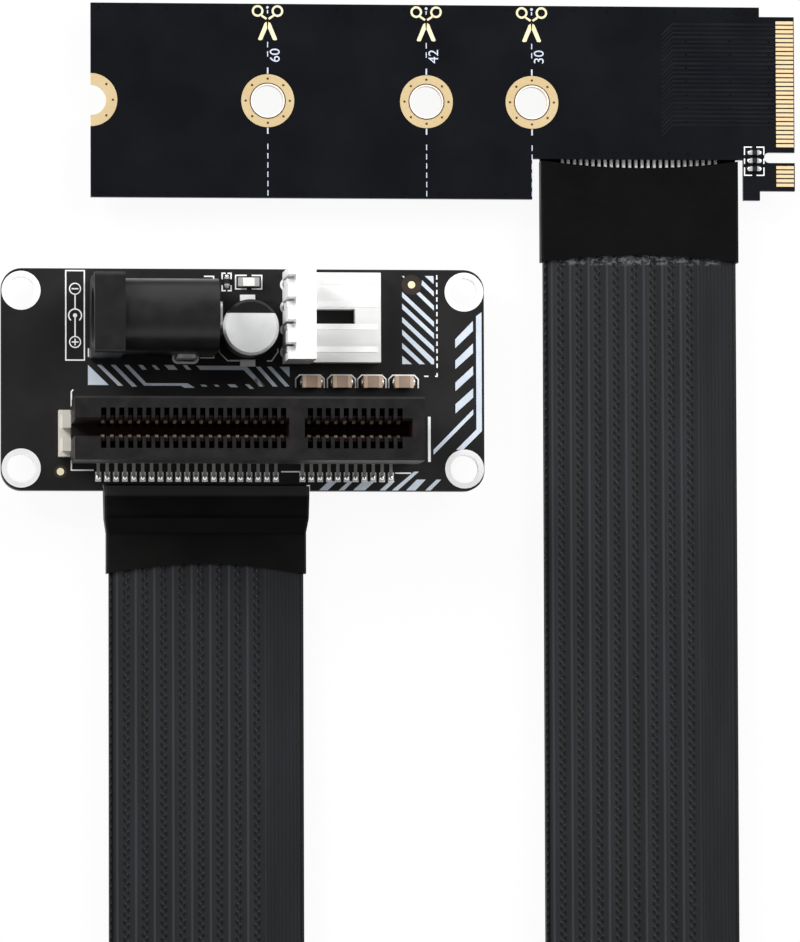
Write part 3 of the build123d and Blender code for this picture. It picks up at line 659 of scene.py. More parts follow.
@dataclass
class RibbonPair:
    """The two stacked flat cables, rolled on edge round one bend."""

    width: float = 21.9
    thickness: float = 0.9
    step: float = 1.0
    table: float = -1.9
    flat_height: float = 1.25
    ridge_first: float = 1.93
    ridge_pitch: float = 2.1
    ridge_depth: float = 0.16
    band_start: float = 18.0
    band_pitch: float = 0.62
    band_depths: Point = (0.03, 0.02)
    rims: Point = (0.4, 0.3)
    rim_depth: float = 0.05
    edge_share: float = 0.28
    outline_steps: int = 88
    stitch_pitch: float = 0.95
    stitch_turns: float = 2.5
    line_pitch: float = 0.42
    band_edge: Point = (0.5, 0.3)
    column_edge: Point = (0.12, 0.24)
    # Where the painted highlight on the rib tops fades in, in rib pitches from the groove's middle.
    ridge_highlight_edge: Point = (0.41, 0.47)
    stitch_edge: Point = (-0.4, 0.6)
    # Where the painted shade along both edges fades in, in millimetres in from each edge.
    rim_painted_shade_edge: Point = (0.5, 0.4)
    heat_end: Point = (9.9, 9.6)
    heat_side: Point = (9.3, 8.9)
    ground: tuple[Shade, Shade] = ((31, 32, 34), (37, 38, 41))
    stitch_shade: Shade = (15, 15, 16)
    # Colour of the painted highlight along the rib tops.
    ridge_highlight_colour: Shade = (68, 69, 73)
    # Colour of the painted shade along both edges.
    rim_painted_shade: Shade = (7, 7, 8)
    band_shade: Shade = (20, 20, 21)
    heat_shade: Shade = (104, 104, 108)
    route: tuple[Point3, ...] = (
        (45.2, 23.05, -0.65),
        (45.2, -20.0, -0.65),
        (45.2, -58.0, -0.65),
        (45.2, -70.0, -0.65),
        (45.2, -80.0, 4.9),
        (45.2, -90.8, 9.05),
        (45.2, -119.2, 9.05),
        (20.55, -133.5, 9.05),
        (-4.1, -119.2, 9.05),
        (-4.1, -90.8, 9.05),
        (-4.1, -80.0, 4.9),
        (-4.1, -70.0, -0.65),
        (-4.1, -58.0, -0.65),
        (-4.1, -35.0, -0.65),
        (-4.1, -12.95, -0.65),
    )

    def build(self, finishes: Finishes) -> None:
        """Builds and dresses both ribbons and lets them ride.

        Args:
            finishes: The finishes.
        """
        finishes.keep("ribbon_jacket", self.jacket())
        line = self.centre_line()
        for name, side, length in (("ribbon_outer", 1, 0.2991), ("ribbon_inner", -1, 0.2960)):
            piece, path = self.strip(name, line, side)
            finishes.put(piece, "ribbon_jacket")
            Workbench.ride(piece, "ribbon_jacket")
            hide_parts("outer_ribbon" if side == 1 else "inner_ribbon")

    def centre_line(self) -> list[Vector]:
        """Points of the pair's smooth route, in millimetres.

        Returns:
            The points read from the route's spline.
        """
        curve = bpy.data.curves.new("route", "CURVE")
        curve.dimensions = "3D"
        spline = curve.splines.new("NURBS")
        spline.points.add(len(self.route) - 1)
        for point, place in zip(spline.points, self.route):
            point.co = (*place, 1)
        spline.order_u = 3
        spline.use_endpoint_u = True
        spline.resolution_u = 16
        guide = bpy.data.objects.new("route", curve)
        mesh = bpy.data.meshes.new_from_object(guide)
        points = [vertex.co.copy() for vertex in mesh.vertices]
        bpy.data.objects.remove(guide)
        bpy.data.curves.remove(curve)
        bpy.data.meshes.remove(mesh)
        return points

    def turns(self, line: list[Vector]) -> list[float]:
        """Works out how far the pair is turned.

        Args:
            line: Points of the route.

        Returns:
            Its angle at each point in radians: 0 flat, pi / 2 on edge, pi flat again.
        """
        low = min(p.z for p in line)
        high = max(p.z for p in line)
        middle = min(range(len(line)), key=lambda i: line[i].y)
        angles = []
        for i, point in enumerate(line):
            rise = 90 * (point.z - low) / (high - low)
            angles.append(radians(rise if i <= middle else 180 - rise))
        return angles

    def profile(self) -> list[Point]:
        """Outline across one ribbon, ribbed above and below.

        Returns:
            Its (across, up) points.
        """
        upper = []
        for i in range(self.outline_steps + 1):
            across = self.width * i / self.outline_steps
            upper.append((across - self.width / 2, self.thickness / 2 - self.groove(across)))
        edge = self.thickness * self.edge_share
        upper[0] = (-self.width / 2, edge)
        upper[-1] = (self.width / 2, edge)
        lower = [(x, -z) for x, z in reversed(upper)]
        return upper + lower

    def groove(self, across: float) -> float:
        """Depth of the ribbing.

        Args:
            across: Millimetres from the ribbon's left edge.

        Returns:
            Its depth in millimetres.
        """
        if across < self.rims[0] or across > self.width - self.rims[1]:
            return self.rim_depth
        if across > self.band_start:
            floor, depth = self.band_depths
            wave = cos(2 * pi * (across - self.band_start) / self.band_pitch)
            return floor + depth * (1 - wave) / 2
        phase = (across - self.ridge_first) / self.ridge_pitch
        return self.ridge_depth * (0.5 + 0.5 * cos(2 * pi * phase)) ** 1.5

    def strip(self, name: str, line: list[Vector], side: int) -> tuple[Piece, list[Point3]]:
        """Sweeps the ribbon's outline along the route.

        Args:
            name: Name of the piece.
            line: The pair's centre line.
            side: 1 for the ribbon outside the bend, -1 for the inner one.

        Returns:
            The piece, and the points in metres that it follows.
        """
        outline = self.profile()
        mesh = bmesh.new()
        layer = mesh.loops.layers.uv.new("run")
        rings, path, travelled = [], [], [0.0]
        for i, (point, turn) in enumerate(zip(line, self.turns(line))):
            ahead = line[min(i + 1, len(line) - 1)] - line[max(i - 1, 0)]
            ahead = Vector((ahead.x, ahead.y, 0)).normalized()
            aside = Vector((-ahead.y, ahead.x, 0))
            across = aside * cos(turn) - Vector((0, 0, 1)) * sin(turn)
            normal = aside * sin(turn) + Vector((0, 0, 1)) * cos(turn)
            height = self.table + self.flat_height * abs(cos(turn)) + self.width / 2 * sin(turn)
            centre = Vector((point.x, point.y, height)) + normal * side * self.step / 2
            if path:
                travelled.append(travelled[-1] + (centre - Vector(path[-1]) / MM).length)
            path.append(tuple(centre * MM))
            rings.append(
                [mesh.verts.new((centre + across * x + normal * z) * MM) for x, z in outline]
            )
        count = len(outline)
        for i in range(len(rings) - 1):
            for j in range(count):
                k = (j + 1) % count
                corners = ((i, j), (i, k), (i + 1, k), (i + 1, j))
                face = mesh.faces.new([rings[ring][index] for ring, index in corners])
                face.smooth = True
                for loop, (ring, index) in zip(face.loops, corners):
                    loop[layer].uv = (outline[index][0] + self.width / 2, travelled[ring])
        mesh.faces.new(list(reversed(rings[0])))
        mesh.faces.new(rings[-1])
        bmesh.ops.recalc_face_normals(mesh, faces=mesh.faces)
        data = bpy.data.meshes.new(name)
        mesh.to_mesh(data)
        mesh.free()
        piece = bpy.data.objects.new(name, data)
        bpy.context.collection.objects.link(piece)
        return piece, path

    def jacket(self) -> bpy.types.Material:
        """Charcoal jacket: stitched columns, painted highlight on rib tops, painted shade at edges.

        Returns:
            The material.
        """
        bench = NodeBench("ribbon_jacket")
        bench.shader.inputs["Specular IOR Level"].default_value = 0.18
        run = bench.add("ShaderNodeUVMap", uv_map="run")
        split = bench.add("ShaderNodeSeparateXYZ")
        bench.join(run.outputs["UV"], split.inputs["Vector"])
        across, along = split.outputs["X"], split.outputs["Y"]
        edge = bench.math("ABSOLUTE", bench.math("SUBTRACT", across, self.width / 2))
        column, stitch, ridge_highlight = self.bundles(bench, across, along)
        dark = bench.math("MULTIPLY", column, bench.spread(stitch, 0.0, 1.0, 0.35, 1.0))
        broad = bench.noise(bench.millimetres((1, 0.15, 1)), 2.4, 4, 0.55)
        broad = bench.spread(broad, 0.3, 0.7, 0.0, 1.0)
        base = bench.mix(broad, *(linear(*shade) for shade in self.ground))
        rim_painted_shade_range = [self.width / 2 - gap for gap in self.rim_painted_shade_edge]
        for share, shade in (
            (bench.math("MULTIPLY", dark, 0.85), self.stitch_shade),
            # Painted highlight along the rib tops.
            (bench.math("MULTIPLY", ridge_highlight, 0.5), self.ridge_highlight_colour),
            # Painted shade along both edges.
            (bench.spread(edge, *rim_painted_shade_range, 0.0, 1.0), self.rim_painted_shade),
            (self.band_lines(bench, across), self.band_shade),
            (self.heated(bench, along, edge), self.heat_shade),
        ):
            base = bench.mix(share, base, linear(*shade))
        fine = bench.noise(bench.millimetres(), 0.25, 4, 0.6)
        roughness = bench.spread(fine, 0.3, 0.7, 0.36, 0.52)
        normal = bench.bump(fine, 0.006)
        normal = bench.bump(bench.math("MULTIPLY", column, stitch), 0.08, normal)
        return bench.dress(base, roughness, normal)

    def bundles(
        self, bench: NodeBench, across: Socket, along: Socket
    ) -> tuple[Socket, Socket, Socket]:
        """Shares of the bundled part of the ribbon.

        Args:
            bench: The jacket's bench.
            across: Millimetres from the ribbon's left edge.
            along: Millimetres from the card.

        Returns:
            Columns between the ridges, their stitches and the painted highlight on the rib tops.
        """
        phase = bench.math("SUBTRACT", across, self.ridge_first)
        phase = bench.math("DIVIDE", phase, self.ridge_pitch)
        near = bench.math("FRACT", bench.math("ADD", phase, 0.5))
        near = bench.math("ABSOLUTE", bench.math("SUBTRACT", near, 0.5))
        band = [self.band_start - gap for gap in self.band_edge]
        bundled = bench.spread(across, *band, 1.0, 0.0)
        column = bench.spread(near, *self.column_edge, 1.0, 0.0)
        column = bench.math("MULTIPLY", column, bundled)
        # Painted highlight along the rib tops.
        ridge_highlight = bench.spread(near, *self.ridge_highlight_edge, 0.0, 1.0)
        ridge_highlight = bench.math("MULTIPLY", ridge_highlight, bundled)
        twist = bench.math("SINE", bench.math("MULTIPLY", along, 2 * pi / self.stitch_pitch))
        offset = bench.math("SINE", bench.math("MULTIPLY", phase, 2 * pi * self.stitch_turns))
        stitch = bench.spread(bench.math("MULTIPLY", twist, offset), *self.stitch_edge, 0.0, 1.0)
        return column, stitch, ridge_highlight

    def band_lines(self, bench: NodeBench, across: Socket) -> Socket:
        """Fine lines along the plain band beside the bundles.

        Args:
            bench: The jacket's bench.
            across: Millimetres from the ribbon's left edge.

        Returns:
            Their share.
        """
        lines = bench.math("SINE", bench.math("MULTIPLY", across, 2 * pi / self.line_pitch))
        band = [self.band_start - gap for gap in self.band_edge]
        plain = bench.spread(across, *band, 0.0, 1.0)
        return bench.math("MULTIPLY", bench.spread(lines, 0.2, 0.9, 0.0, 0.45), plain)

    def heated(self, bench: NodeBench, along: Socket, edge: Socket) -> Socket:
        """Crinkled strip that the card sleeve's heat left under its end.

        Args:
            bench: The jacket's bench.
            along: Millimetres from the card.
            edge: Millimetres from the ribbon's middle.

        Returns:
            Its share.
        """
        crinkle = bench.noise(bench.millimetres((1, 1.6, 1)), 0.55, 3, 0.6)
        crinkle = bench.spread(crinkle, 0.48, 0.62, 0.0, 0.7)
        strip = bench.math("MULTIPLY", crinkle, bench.spread(along, *self.heat_end, 0.0, 1.0))
        return bench.math("MULTIPLY", strip, bench.spread(edge, *self.heat_side, 0.0, 1.0))


def box(low: Point, high: Point, inset: float = 0.0) -> list[Point]:
    """Rectangle between two corners, drawn in by an inset."""
    x0, y0, x1, y1 = low[0] + inset, low[1] + inset, high[0] - inset, high[1] - inset
    return [(x0, y0), (x1, y0), (x1, y1), (x0, y1)]


def ring(centre: Point, radius: float, count: int = 32) -> list[Point]:
    """Circle as an outline of short sides."""
    steps = [2 * pi * i / count for i in range(count)]
    return [(centre[0] + radius * cos(a), centre[1] + radius * sin(a)) for a in steps]


def stroke(points: tuple[Point, ...], width: float) -> list[Point]:
    """Outline of a line of some width with mitred corners.

    Args:
        points: The line's corners in order.
        width: Its width.

    Returns:
        One closed outline round it.
    """
    left, right = [], []
    vectors = [Vector(p) for p in points]
    for i, point in enumerate(vectors):
        before = (point - vectors[i - 1]).normalized() if i else None
        after = (vectors[i + 1] - point).normalized() if i + 1 < len(vectors) else None
        before, after = before or after, after or before
        way = (before + after).normalized()
        side = Vector((-way.y, way.x)) * (width / 2 / max(0.4, way.dot(after)))
        left.append(tuple(point + side))
        right.append(tuple(point - side))
    return left + right[::-1]


def oval(centre: Point, length: float, width: float) -> list[Point]:
    """Outline with straight sides and round ends along x.

    Args:
        centre: Its centre.
        length: Its length along x.
        width: Its width.

    Returns:
        The closed outline.
    """
    radius = width / 2
    reach = length / 2 - radius
    steps = [-pi / 2 + pi * i / 12 for i in range(13)]
    right = [(centre[0] + reach + radius * cos(a), centre[1] + radius * sin(a)) for a in steps]
    left = [(centre[0] - reach - radius * cos(a), centre[1] - radius * sin(a)) for a in steps]
    return right + left


@dataclass
class BoardPrint:
    """White and pale printing on the slot board, with its fiducials."""

    level: float = 1.6
    ink: float = 0.02
    line: float = 0.15
    frame_box: tuple[Point, Point] = ((-20.05, 2.09), (-17.81, 12.32))
    slot_bar: tuple[Point, Point] = ((20.86, -9.21), (21.17, -4.1))
    fiducials: tuple[tuple[float, float, float, float], ...] = (
        (19.06, 10.81, 0.42, 1.14),
        (-20.59, -10.39, 0.42, 0.72),
    )
    ring_x: float = 4.95
    sign_x: float = -18.93
    sign_ys: tuple[float, float, float] = (10.2, 7.2, 4.2)
    ring_ys: tuple[float, ...] = (10.76, 8.22, 5.68, 3.14)
    band: Shapes = (
        ((-17.49, 1.64), (-15.16, -0.63), (-17.49, -0.63)),
        ((-16.48, 1.64), (-15.97, 1.64), (-13.55, -0.71), (-14.1, -0.71)),
        ((-14.93, 1.64), (-14.4, 1.64), (-11.98, -0.78), (-12.51, -0.82)),
        ((-13.42, 1.64), (-12.89, 1.64), (-10.9, -0.41), (-6.26, -0.41), (-5.46, -0.92),
         (-6.64, -0.92), (-7.02, -0.69), (-11.18, -0.69)),
        ((-11.84, 1.64), (-11.33, 1.64), (-10.86, 1.11), (-11.37, 1.11)),
        ((-10.33, 1.64), (-9.91, 1.64), (-9.4, 1.11), (-9.86, 1.11)),
        ((-8.91, 1.64), (-7.87, 1.64), (-7.39, 1.11), (-8.38, 1.11)),
        ((-6.83, 1.64), (-6.35, 1.64), (-5.84, 1.11), (-6.33, 1.11)),
        ((-5.31, 1.58), (0.33, 1.58), (2.49, -0.75), (1.92, -0.75), (0.03, 1.11), (-4.84, 1.11)),
        ((-4.84, -0.56), (-4.27, -0.56), (-4.04, -0.78), (-4.61, -0.78)),
        ((-3.32, -0.56), (-2.89, -0.56), (-2.66, -0.78), (-3.09, -0.78)),
        ((-1.81, -0.5), (-0.95, -0.5), (-0.58, -0.84), (-1.43, -0.84)),
        ((0.18, -0.5), (0.66, -0.5), (1.22, -1.01), (0.75, -1.01)),
        ((1.41, 1.49), (1.92, 1.49), (3.89, -0.75), (3.36, -0.75)),
        ((2.68, 1.49), (3.21, 1.49), (5.22, -0.71), (4.73, -0.75)),
        ((4.1, 1.49), (5.22, 1.49), (5.22, 0.31)),
        ((1.32, 0.35), (2.3, -0.75), (1.81, -0.75), (1.32, -0.22)),
    )
    chevrons: Shapes = (
        ((26.0, 6.75), (26.0, 5.62), (23.99, 3.67), (23.99, 4.67)),
        ((26.0, 4.2), (26.0, 3.1), (23.99, 1.3), (23.99, 2.25)),
        ((26.0, 1.64), (26.0, 0.64), (23.99, -1.2), (23.99, -0.22)),
        ((26.0, -0.88), (26.0, -1.92), (23.99, -3.72), (23.99, -2.68)),
        ((26.0, -3.25), (26.0, -3.85), (21.49, -8.4), (21.49, -7.83)),
        ((26.36, 7.27), (26.98, 7.74), (26.98, -5.71), (24.84, -7.83), (24.05, -7.83),
         (26.36, -5.52)),
    )
    foot: Shapes = (
        ((9.65, -11.39), (10.6, -11.39), (9.5, -12.43), (8.52, -12.43)),
        ((11.89, -11.39), (12.42, -11.39), (11.36, -12.43), (10.73, -12.43)),
        ((13.48, -11.43), (14.8, -11.43), (13.72, -12.43), (12.36, -12.43)),
        ((16.47, -11.43), (17.08, -11.43), (16.02, -12.43), (15.37, -12.43)),
        ((19.27, -10.31), (19.82, -10.31), (17.42, -12.43), (16.75, -12.43)),
        ((19.59, -11.2), (20.58, -11.2), (19.41, -12.43), (18.36, -12.43)),
        ((21.81, -11.2), (22.34, -11.2), (21.13, -12.43), (20.52, -12.43)),
    )
    field: Shapes = (
        ((17.98, 10.01), (21.58, 6.64), (21.58, 6.03), (17.98, 9.41)),
        ((17.98, 8.69), (21.58, 5.31), (21.58, 4.71), (17.98, 8.08)),
        ((17.98, 7.17), (21.58, 3.8), (21.58, 3.19), (17.98, 6.56)),
        ((17.98, 5.75), (21.58, 2.38), (21.58, 1.83), (21.3, 1.83), (17.98, 5.14)),
        ((17.98, 4.23), (20.55, 1.83), (19.91, 1.83), (17.98, 3.63)),
        ((17.98, 2.78), (19.08, 1.83), (17.98, 1.83)),
        ((20.56, 11.81), (21.55, 11.81), (21.55, 10.9)),
        ((20.26, 11.34), (21.58, 10.05), (21.58, 9.48), (20.18, 10.81)),
        ((19.97, 10.01), (21.58, 8.46), (21.58, 7.89), (19.61, 9.78)),
        ((17.98, 11.81), (18.23, 11.81), (18.23, 11.53)),
    )
    jack_frame: Shapes = (
        ((-4.4, 11.66), (-3.32, 11.66), (-3.32, 2.47), (-4.84, 2.47)),
        ((-17.43, 3.5), (-17.43, 2.53)),
    )
    lines: Shapes = (
        ((-19.14, -1.16), (-19.36, -1.39), (-19.36, -3.72)),
        ((-19.36, -9.12), (-19.36, -10.22), (-16.86, -10.22)),
        ((4.25, -10.35), (6.43, -10.35)),
        ((17.13, -10.48), (18.93, -10.48)),
        ((-1.96, 12.02), (-2.36, 12.02), (-2.36, 11.34)),
        ((-2.36, 10.67), (-2.36, 10.05), (-1.96, 10.05)),
        ((-1.75, 12.02), (-1.35, 12.02), (-1.35, 11.34)),
        ((-1.35, 10.67), (-1.35, 10.05), (-1.75, 10.05)),
        ((0.41, 11.79), (-0.84, 11.79), (-0.84, 10.26), (0.41, 10.26)),
        ((0.98, 11.79), (2.11, 11.79), (2.11, 10.26), (0.98, 10.26)),
        ((-2.19, 8.88), (-2.7, 8.57), (-2.7, 3.1), (-1.75, 2.15), (-0.39, 2.15)),
        ((3.91, 3.53), (3.91, 3.16), (3.21, 2.15), (2.68, 2.15)),
    )
    capacitor_xs: tuple[tuple[float, float, float, float], ...] = (
        (5.92, 6.37, 8.69, 9.14),
        (9.5, 9.95, 12.23, 12.68),
        (12.93, 13.38, 15.67, 16.13),
        (16.43, 16.89, 19.33, 19.78),
    )
    capacitor_ys: tuple[float, float, float] = (-0.88, 0.13, 0.58)
    dash_x: float = 21.92
    dash_ys: Point = (11.9067, 11.4133)
    dash_pitch: float = 5 / 6
    dash_count: int = 13
    dash_corners: Shapes = (
        ((21.92, 0.84), (21.92, 0.47), (21.7, 0.47)),
        ((20.45, 0.47), (20.94, 0.47)),
    )
    ring_radii: Point = (0.78, 0.5)
    dot_gap: float = 0.06
    sign_radii: Point = (0.68, 0.55)
    sign_bar: Point = (0.38, 0.07)
    dot_radius: float = 0.24
    cup_radius: float = 0.72
    cup_turns: Point = (-50, 280)
    stems: tuple[Point, Point] = ((0.8, 0.69), (0.25, 0.69))

    def build(self, finishes: Finishes) -> None:
        """Prints every mark and both fiducials.

        Args:
            finishes: The finishes.
        """
        pale = [
            list(shape)
            for group in (self.band, self.chevrons, self.foot, self.field)
            for shape in group
        ]
        slot = "slot_board_laminate"
        finishes.lay("print_pale_shapes", pale, self.level, self.ink, "print_pale", slot)
        white = [box(*self.slot_bar)]
        white += [box(*self.frame_box), box(*self.frame_box, inset=self.line)]
        for group in (self.jack_frame, self.lines, self.capacitor_frames(), self.dashes()):
            white += [stroke(shape, self.line) for shape in group]
        for y in self.ring_ys:
            white += [ring((self.ring_x, y), radius) for radius in self.ring_radii]
        white += self.polarity()
        finishes.lay("print_white_lines", white, self.level, self.ink, "print_white", slot)
        bare = []
        dots = []
        for x, y, inner, outer in self.fiducials:
            bare += [ring((x, y), outer), ring((x, y), inner + self.dot_gap)]
            dots.append(ring((x, y), inner))
        finishes.lay("fiducial_clearings", bare, self.level, self.ink, "bare_laminate", slot)
        finishes.lay("fiducial_dots", dots, self.level, self.ink, "pale_gold", slot)

    def capacitor_frames(self) -> list[tuple[Point, ...]]:
        """Open frames over the four ceramic capacitors.

        Returns:
            Their lines.
        """
        foot, side, top = self.capacitor_ys
        return [
            ((x0, foot), (x0, side), (x1, top), (x2, top), (x3, side), (x3, foot))
            for x0, x1, x2, x3 in self.capacitor_xs
        ]

    def dashes(self) -> list[tuple[Point, ...]]:
        """Dashed line down beside the hatched field, with its corner.

        Returns:
            Its dashes.
        """
        steps = [i * self.dash_pitch for i in range(self.dash_count)]
        column = [tuple((self.dash_x, round(y - step, 2)) for y in self.dash_ys) for step in steps]
        return column + list(self.dash_corners)

    def polarity(self) -> Outlines:
        """Plain centre-positive sign in the frame: a minus, a cup round a dot, a plus.

        Returns:
            Its outlines.
        """
        x, (reach, half) = self.sign_x, self.sign_bar
        high, middle, low = self.sign_ys
        shapes = []
        for y in (high, low):
            shapes += [ring((x, y), radius) for radius in self.sign_radii]
            if y == high:
                shapes.append(box((x - reach, y - half), (x + reach, y + half)))
                continue
            shapes.append(
                [(x - reach, y - half), (x - half, y - half), (x - half, y - reach),
                 (x + half, y - reach), (x + half, y - half), (x + reach, y - half),
                 (x + reach, y + half), (x + half, y + half), (x + half, y + reach),
                 (x - half, y + reach), (x - half, y + half), (x - reach, y + half)]
            )
        shapes.append(ring((x, middle), self.dot_radius, 20))
        turns = [radians(self.cup_turns[0] + self.cup_turns[1] * i / 28) for i in range(29)]
        cup = [(x + self.cup_radius * cos(a), middle + self.cup_radius * sin(a)) for a in turns]
        shapes.append(stroke(tuple(cup), self.line))
        for way, end, (start, gap) in zip((1, -1), (high, low), self.stems):
            shapes.append(stroke(((x, middle + way * start), (x, end - way * gap)), self.line))
        return shapes


@dataclass
class CardDressing:
    """Printing, plating, traces and vias on the drive card's upper face."""

    level: float = 0.8
    ink: float = 0.02
    centre_y: float = 31.65
    edge_x: float = 62.9
    top_y: float = 42.65
    bottom_y: float = 20.65
    cut_distances: tuple[float, ...] = (60.0, 42.0, 30.0)
    half_distance: float = 80.0
    ring_radius: float = 2.5
    handle: Point = (1.12, 10.18)
    pivot_y: float = 9.23
    blade: tuple[Point, ...] = (
        (-0.1, 8.95), (-0.34, 8.8), (-0.95, 7.3), (-1.08, 6.98), (-0.93, 6.85), (-0.62, 6.9),
        (-0.04, 8.25),
    )
    eye_radii: Point = (0.66, 0.42)
    arm_ends: tuple[Point, Point] = ((0.44, 0.52), (0.12, 0.05))
    number_size: float = 1.61
    number_place: Point = (1.35, 5.15)
    via_radius: float = 0.12
    via_xs: tuple[float, ...] = (50.52, 55.52, 59.95)
    via_ys: tuple[float, ...] = (38.74, 37.23, 35.67, 34.16, 32.66, 31.12, 29.56)
    row_first: Point = (35.86, 25.92)
    row_pitch: float = 2.11
    row_count: int = 9
    contact_via_xs: tuple[float, ...] = (56.3, 57.4, 58.4)
    contact_via_y: float = 41.9
    lower_first: Point = (55.3, 41.1)
    lower_pitch: float = 0.7
    edge_first: float = -16.2
    edge_pitch: float = 3.85
    edge_ys: Point = (21.2, 42.1)
    ring_via_radius: float = 0.13
    ring_raise: float = 0.05
    # Two thin rings at each hole: the pale inner ring is the plated edge, the dark outer line is
    # painted shade of the hole wall.
    rims: tuple[tuple[str, float, float, str], ...] = (
        ("ring_inner_rims", 1.92, 1.77, "bright_tin"),
        ("ring_rim_painted_shade", 2.04, 1.93, "via_brown_and_painted_shade"),
    )
    trace_top: float = 40.7
    trace_right: float = 60.6
    trace_left: float = 49.0
    trace_drop: float = 1.3
    trace_pitch: float = 0.5
    trace_count: int = 24
    trace_line: float = 0.16
    wide_line: float = 0.24
    cut_line: float = 0.11
    stub_line: float = 0.17
    mark_line: float = 0.13
    dash_ends: Point = (0.25, 4.4)
    dash_length: float = 0.62
    dash_pitch: float = 1.05
    dash_clear: float = 4.3
    dash_middle: float = 0.3
    stub: Point = (3.05, 3.75)
    mark: Point = (1.1, 0.7)
    dot: Point = (0.42, 0.16)
    bracket: tuple[Point, Point] = ((57.14, 23.51), (59.36, 26.72))
    bracket_gap: float = 0.25
    bracket_leg: float = 0.9
    bracket_side: float = 1.3

    def build(self, finishes: Finishes) -> None:
        """Lays traces, vias, cut lines, scissors, numbers and brackets.

        Args:
            finishes: The finishes.
        """
        for name, shapes, rise, finish in (
            ("card_traces", self.traces(), 0, "trace_copper"),
            ("card_vias", self.vias(), 0.015, "via_dark"),
            ("card_cut_lines", self.cut_lines(), 0, "print_blue"),
            ("card_scissors", self.scissors(), 0, "pale_gold"),
            ("card_brackets", self.brackets(), 0, "print_white"),
            ("ring_vias", self.ring_vias(), self.ring_raise, "via_brown_and_painted_shade"),
        ):
            finishes.lay(name, shapes, self.level + rise, self.ink, finish, "card_laminate")
        for name, outer, inner, finish in self.rims:
            shapes = []
            for distance in self.cut_distances:
                centre = (self.edge_x - distance, self.centre_y)
                shapes += [ring(centre, outer, 48), ring(centre, inner, 48)]
            level = self.level + self.ring_raise
            finishes.lay(name, shapes, level, self.ink, finish, "card_laminate")
        for distance in self.cut_distances:
            self.number(distance, finishes)

    def traces(self) -> Outlines:
        """Copper lines under the mask, from the contacts towards the cable.

        Returns:
            Their outlines.
        """
        shapes = []
        left, drop = self.trace_left, self.trace_drop
        for i in range(self.trace_count):
            y = self.trace_top - i * self.trace_pitch
            line = ((self.trace_right, y), (left, y), (left - drop, y - drop))
            shapes.append(stroke(line, self.trace_line if i % 3 else self.wide_line))
        return shapes

    def ring_vias(self) -> Outlines:
        """Small plated holes round each ring and round the half ring.

        Returns:
            Their outlines.
        """
        places = [(distance, pi / 4 * k) for distance in self.cut_distances for k in range(8)]
        places += [(self.half_distance, turn) for turn in (-pi / 4, 0, pi / 4)]
        shapes = []
        for distance, turn in places:
            x = self.edge_x - distance + self.ring_radius * cos(turn)
            y = self.centre_y + self.ring_radius * sin(turn)
            shapes.append(ring((x, y), self.ring_via_radius, 12))
        return shapes

    def vias(self) -> Outlines:
        """Tented holes: three columns, the row over the cable and some near the edges.

        Returns:
            Their outlines.
        """
        places = [(x, y) for x in self.via_xs for y in self.via_ys]
        x, y = self.row_first
        places += [(x + i * self.row_pitch, y) for i in range(self.row_count)]
        places += [(x, self.contact_via_y) for x in self.contact_via_xs]
        x, y = self.lower_first
        places += [(x + self.lower_pitch * i, y) for i in range(5)]
        xs = [self.edge_first + self.edge_pitch * i for i in range(18)]
        lower, upper = self.edge_ys
        last_cut = self.edge_x - max(self.cut_distances)
        places += [(x, lower) for x in xs[:13] if abs(x - last_cut) > 1]
        places += [(x, upper) for x in xs]
        return [ring(place, self.via_radius, 12) for place in places]

    def cut_lines(self) -> Outlines:
        """Dashed lines across the card at each screw position.

        Returns:
            Their outlines.
        """
        shapes = []
        for distance in self.cut_distances:
            x = self.edge_x - distance
            y = self.bottom_y + self.dash_ends[0]
            while y < self.top_y - self.dash_ends[1]:
                if abs(y + self.dash_middle - self.centre_y) > self.dash_clear:
                    shapes.append(stroke(((x, y), (x, y + self.dash_length)), self.cut_line))
                y += self.dash_pitch
            for side in (-1, 1):
                ends = tuple((x, self.centre_y + side * reach) for reach in self.stub)
                shapes.append(stroke(ends, self.stub_line))
            ends = tuple((x, self.top_y - drop) for drop in self.mark)
            shapes.append(stroke(ends, self.mark_line))
            shapes.append(ring((x, self.top_y - self.dot[0]), self.dot[1], 12))
        return shapes

    def scissors(self) -> Outlines:
        """A pair of scissors over each cut line: two rings, two arms, two blades.

        Returns:
            Their outlines.
        """
        shapes = []
        for distance in self.cut_distances:
            x = self.edge_x - distance
            for side in (-1, 1):
                eye = (x + side * self.handle[0], self.centre_y + self.handle[1])
                shapes += [ring(eye, radius) for radius in self.eye_radii]
                (foot_x, foot_y), (head_x, head_y) = self.arm_ends
                arm = (
                    (eye[0] - side * foot_x, eye[1] - foot_y),
                    (x + side * head_x, self.centre_y + self.pivot_y + head_y),
                )
                shapes.append(stroke(arm, self.wide_line))
                shapes.append([(x + side * p[0], self.centre_y + p[1]) for p in self.blade])
        return shapes

    def brackets(self) -> Outlines:
        """Corner marks round the three resistors.

        Returns:
            Their outlines.
        """
        (x0, y0), (x1, y1) = self.bracket
        middle, side = (x0 + x1) / 2, self.bracket_side
        lines = [
            ((middle + way * self.bracket_gap, y), (x, y), (x, y + turn * self.bracket_leg))
            for y, turn in ((y1, -1), (y0, 1))
            for x, way in ((x0, -1), (x1, 1))
        ]
        lines += [((x, y0 + side), (x, y1 - side)) for x in (x0, x1)]
        return [stroke(line, self.mark_line) for line in lines]

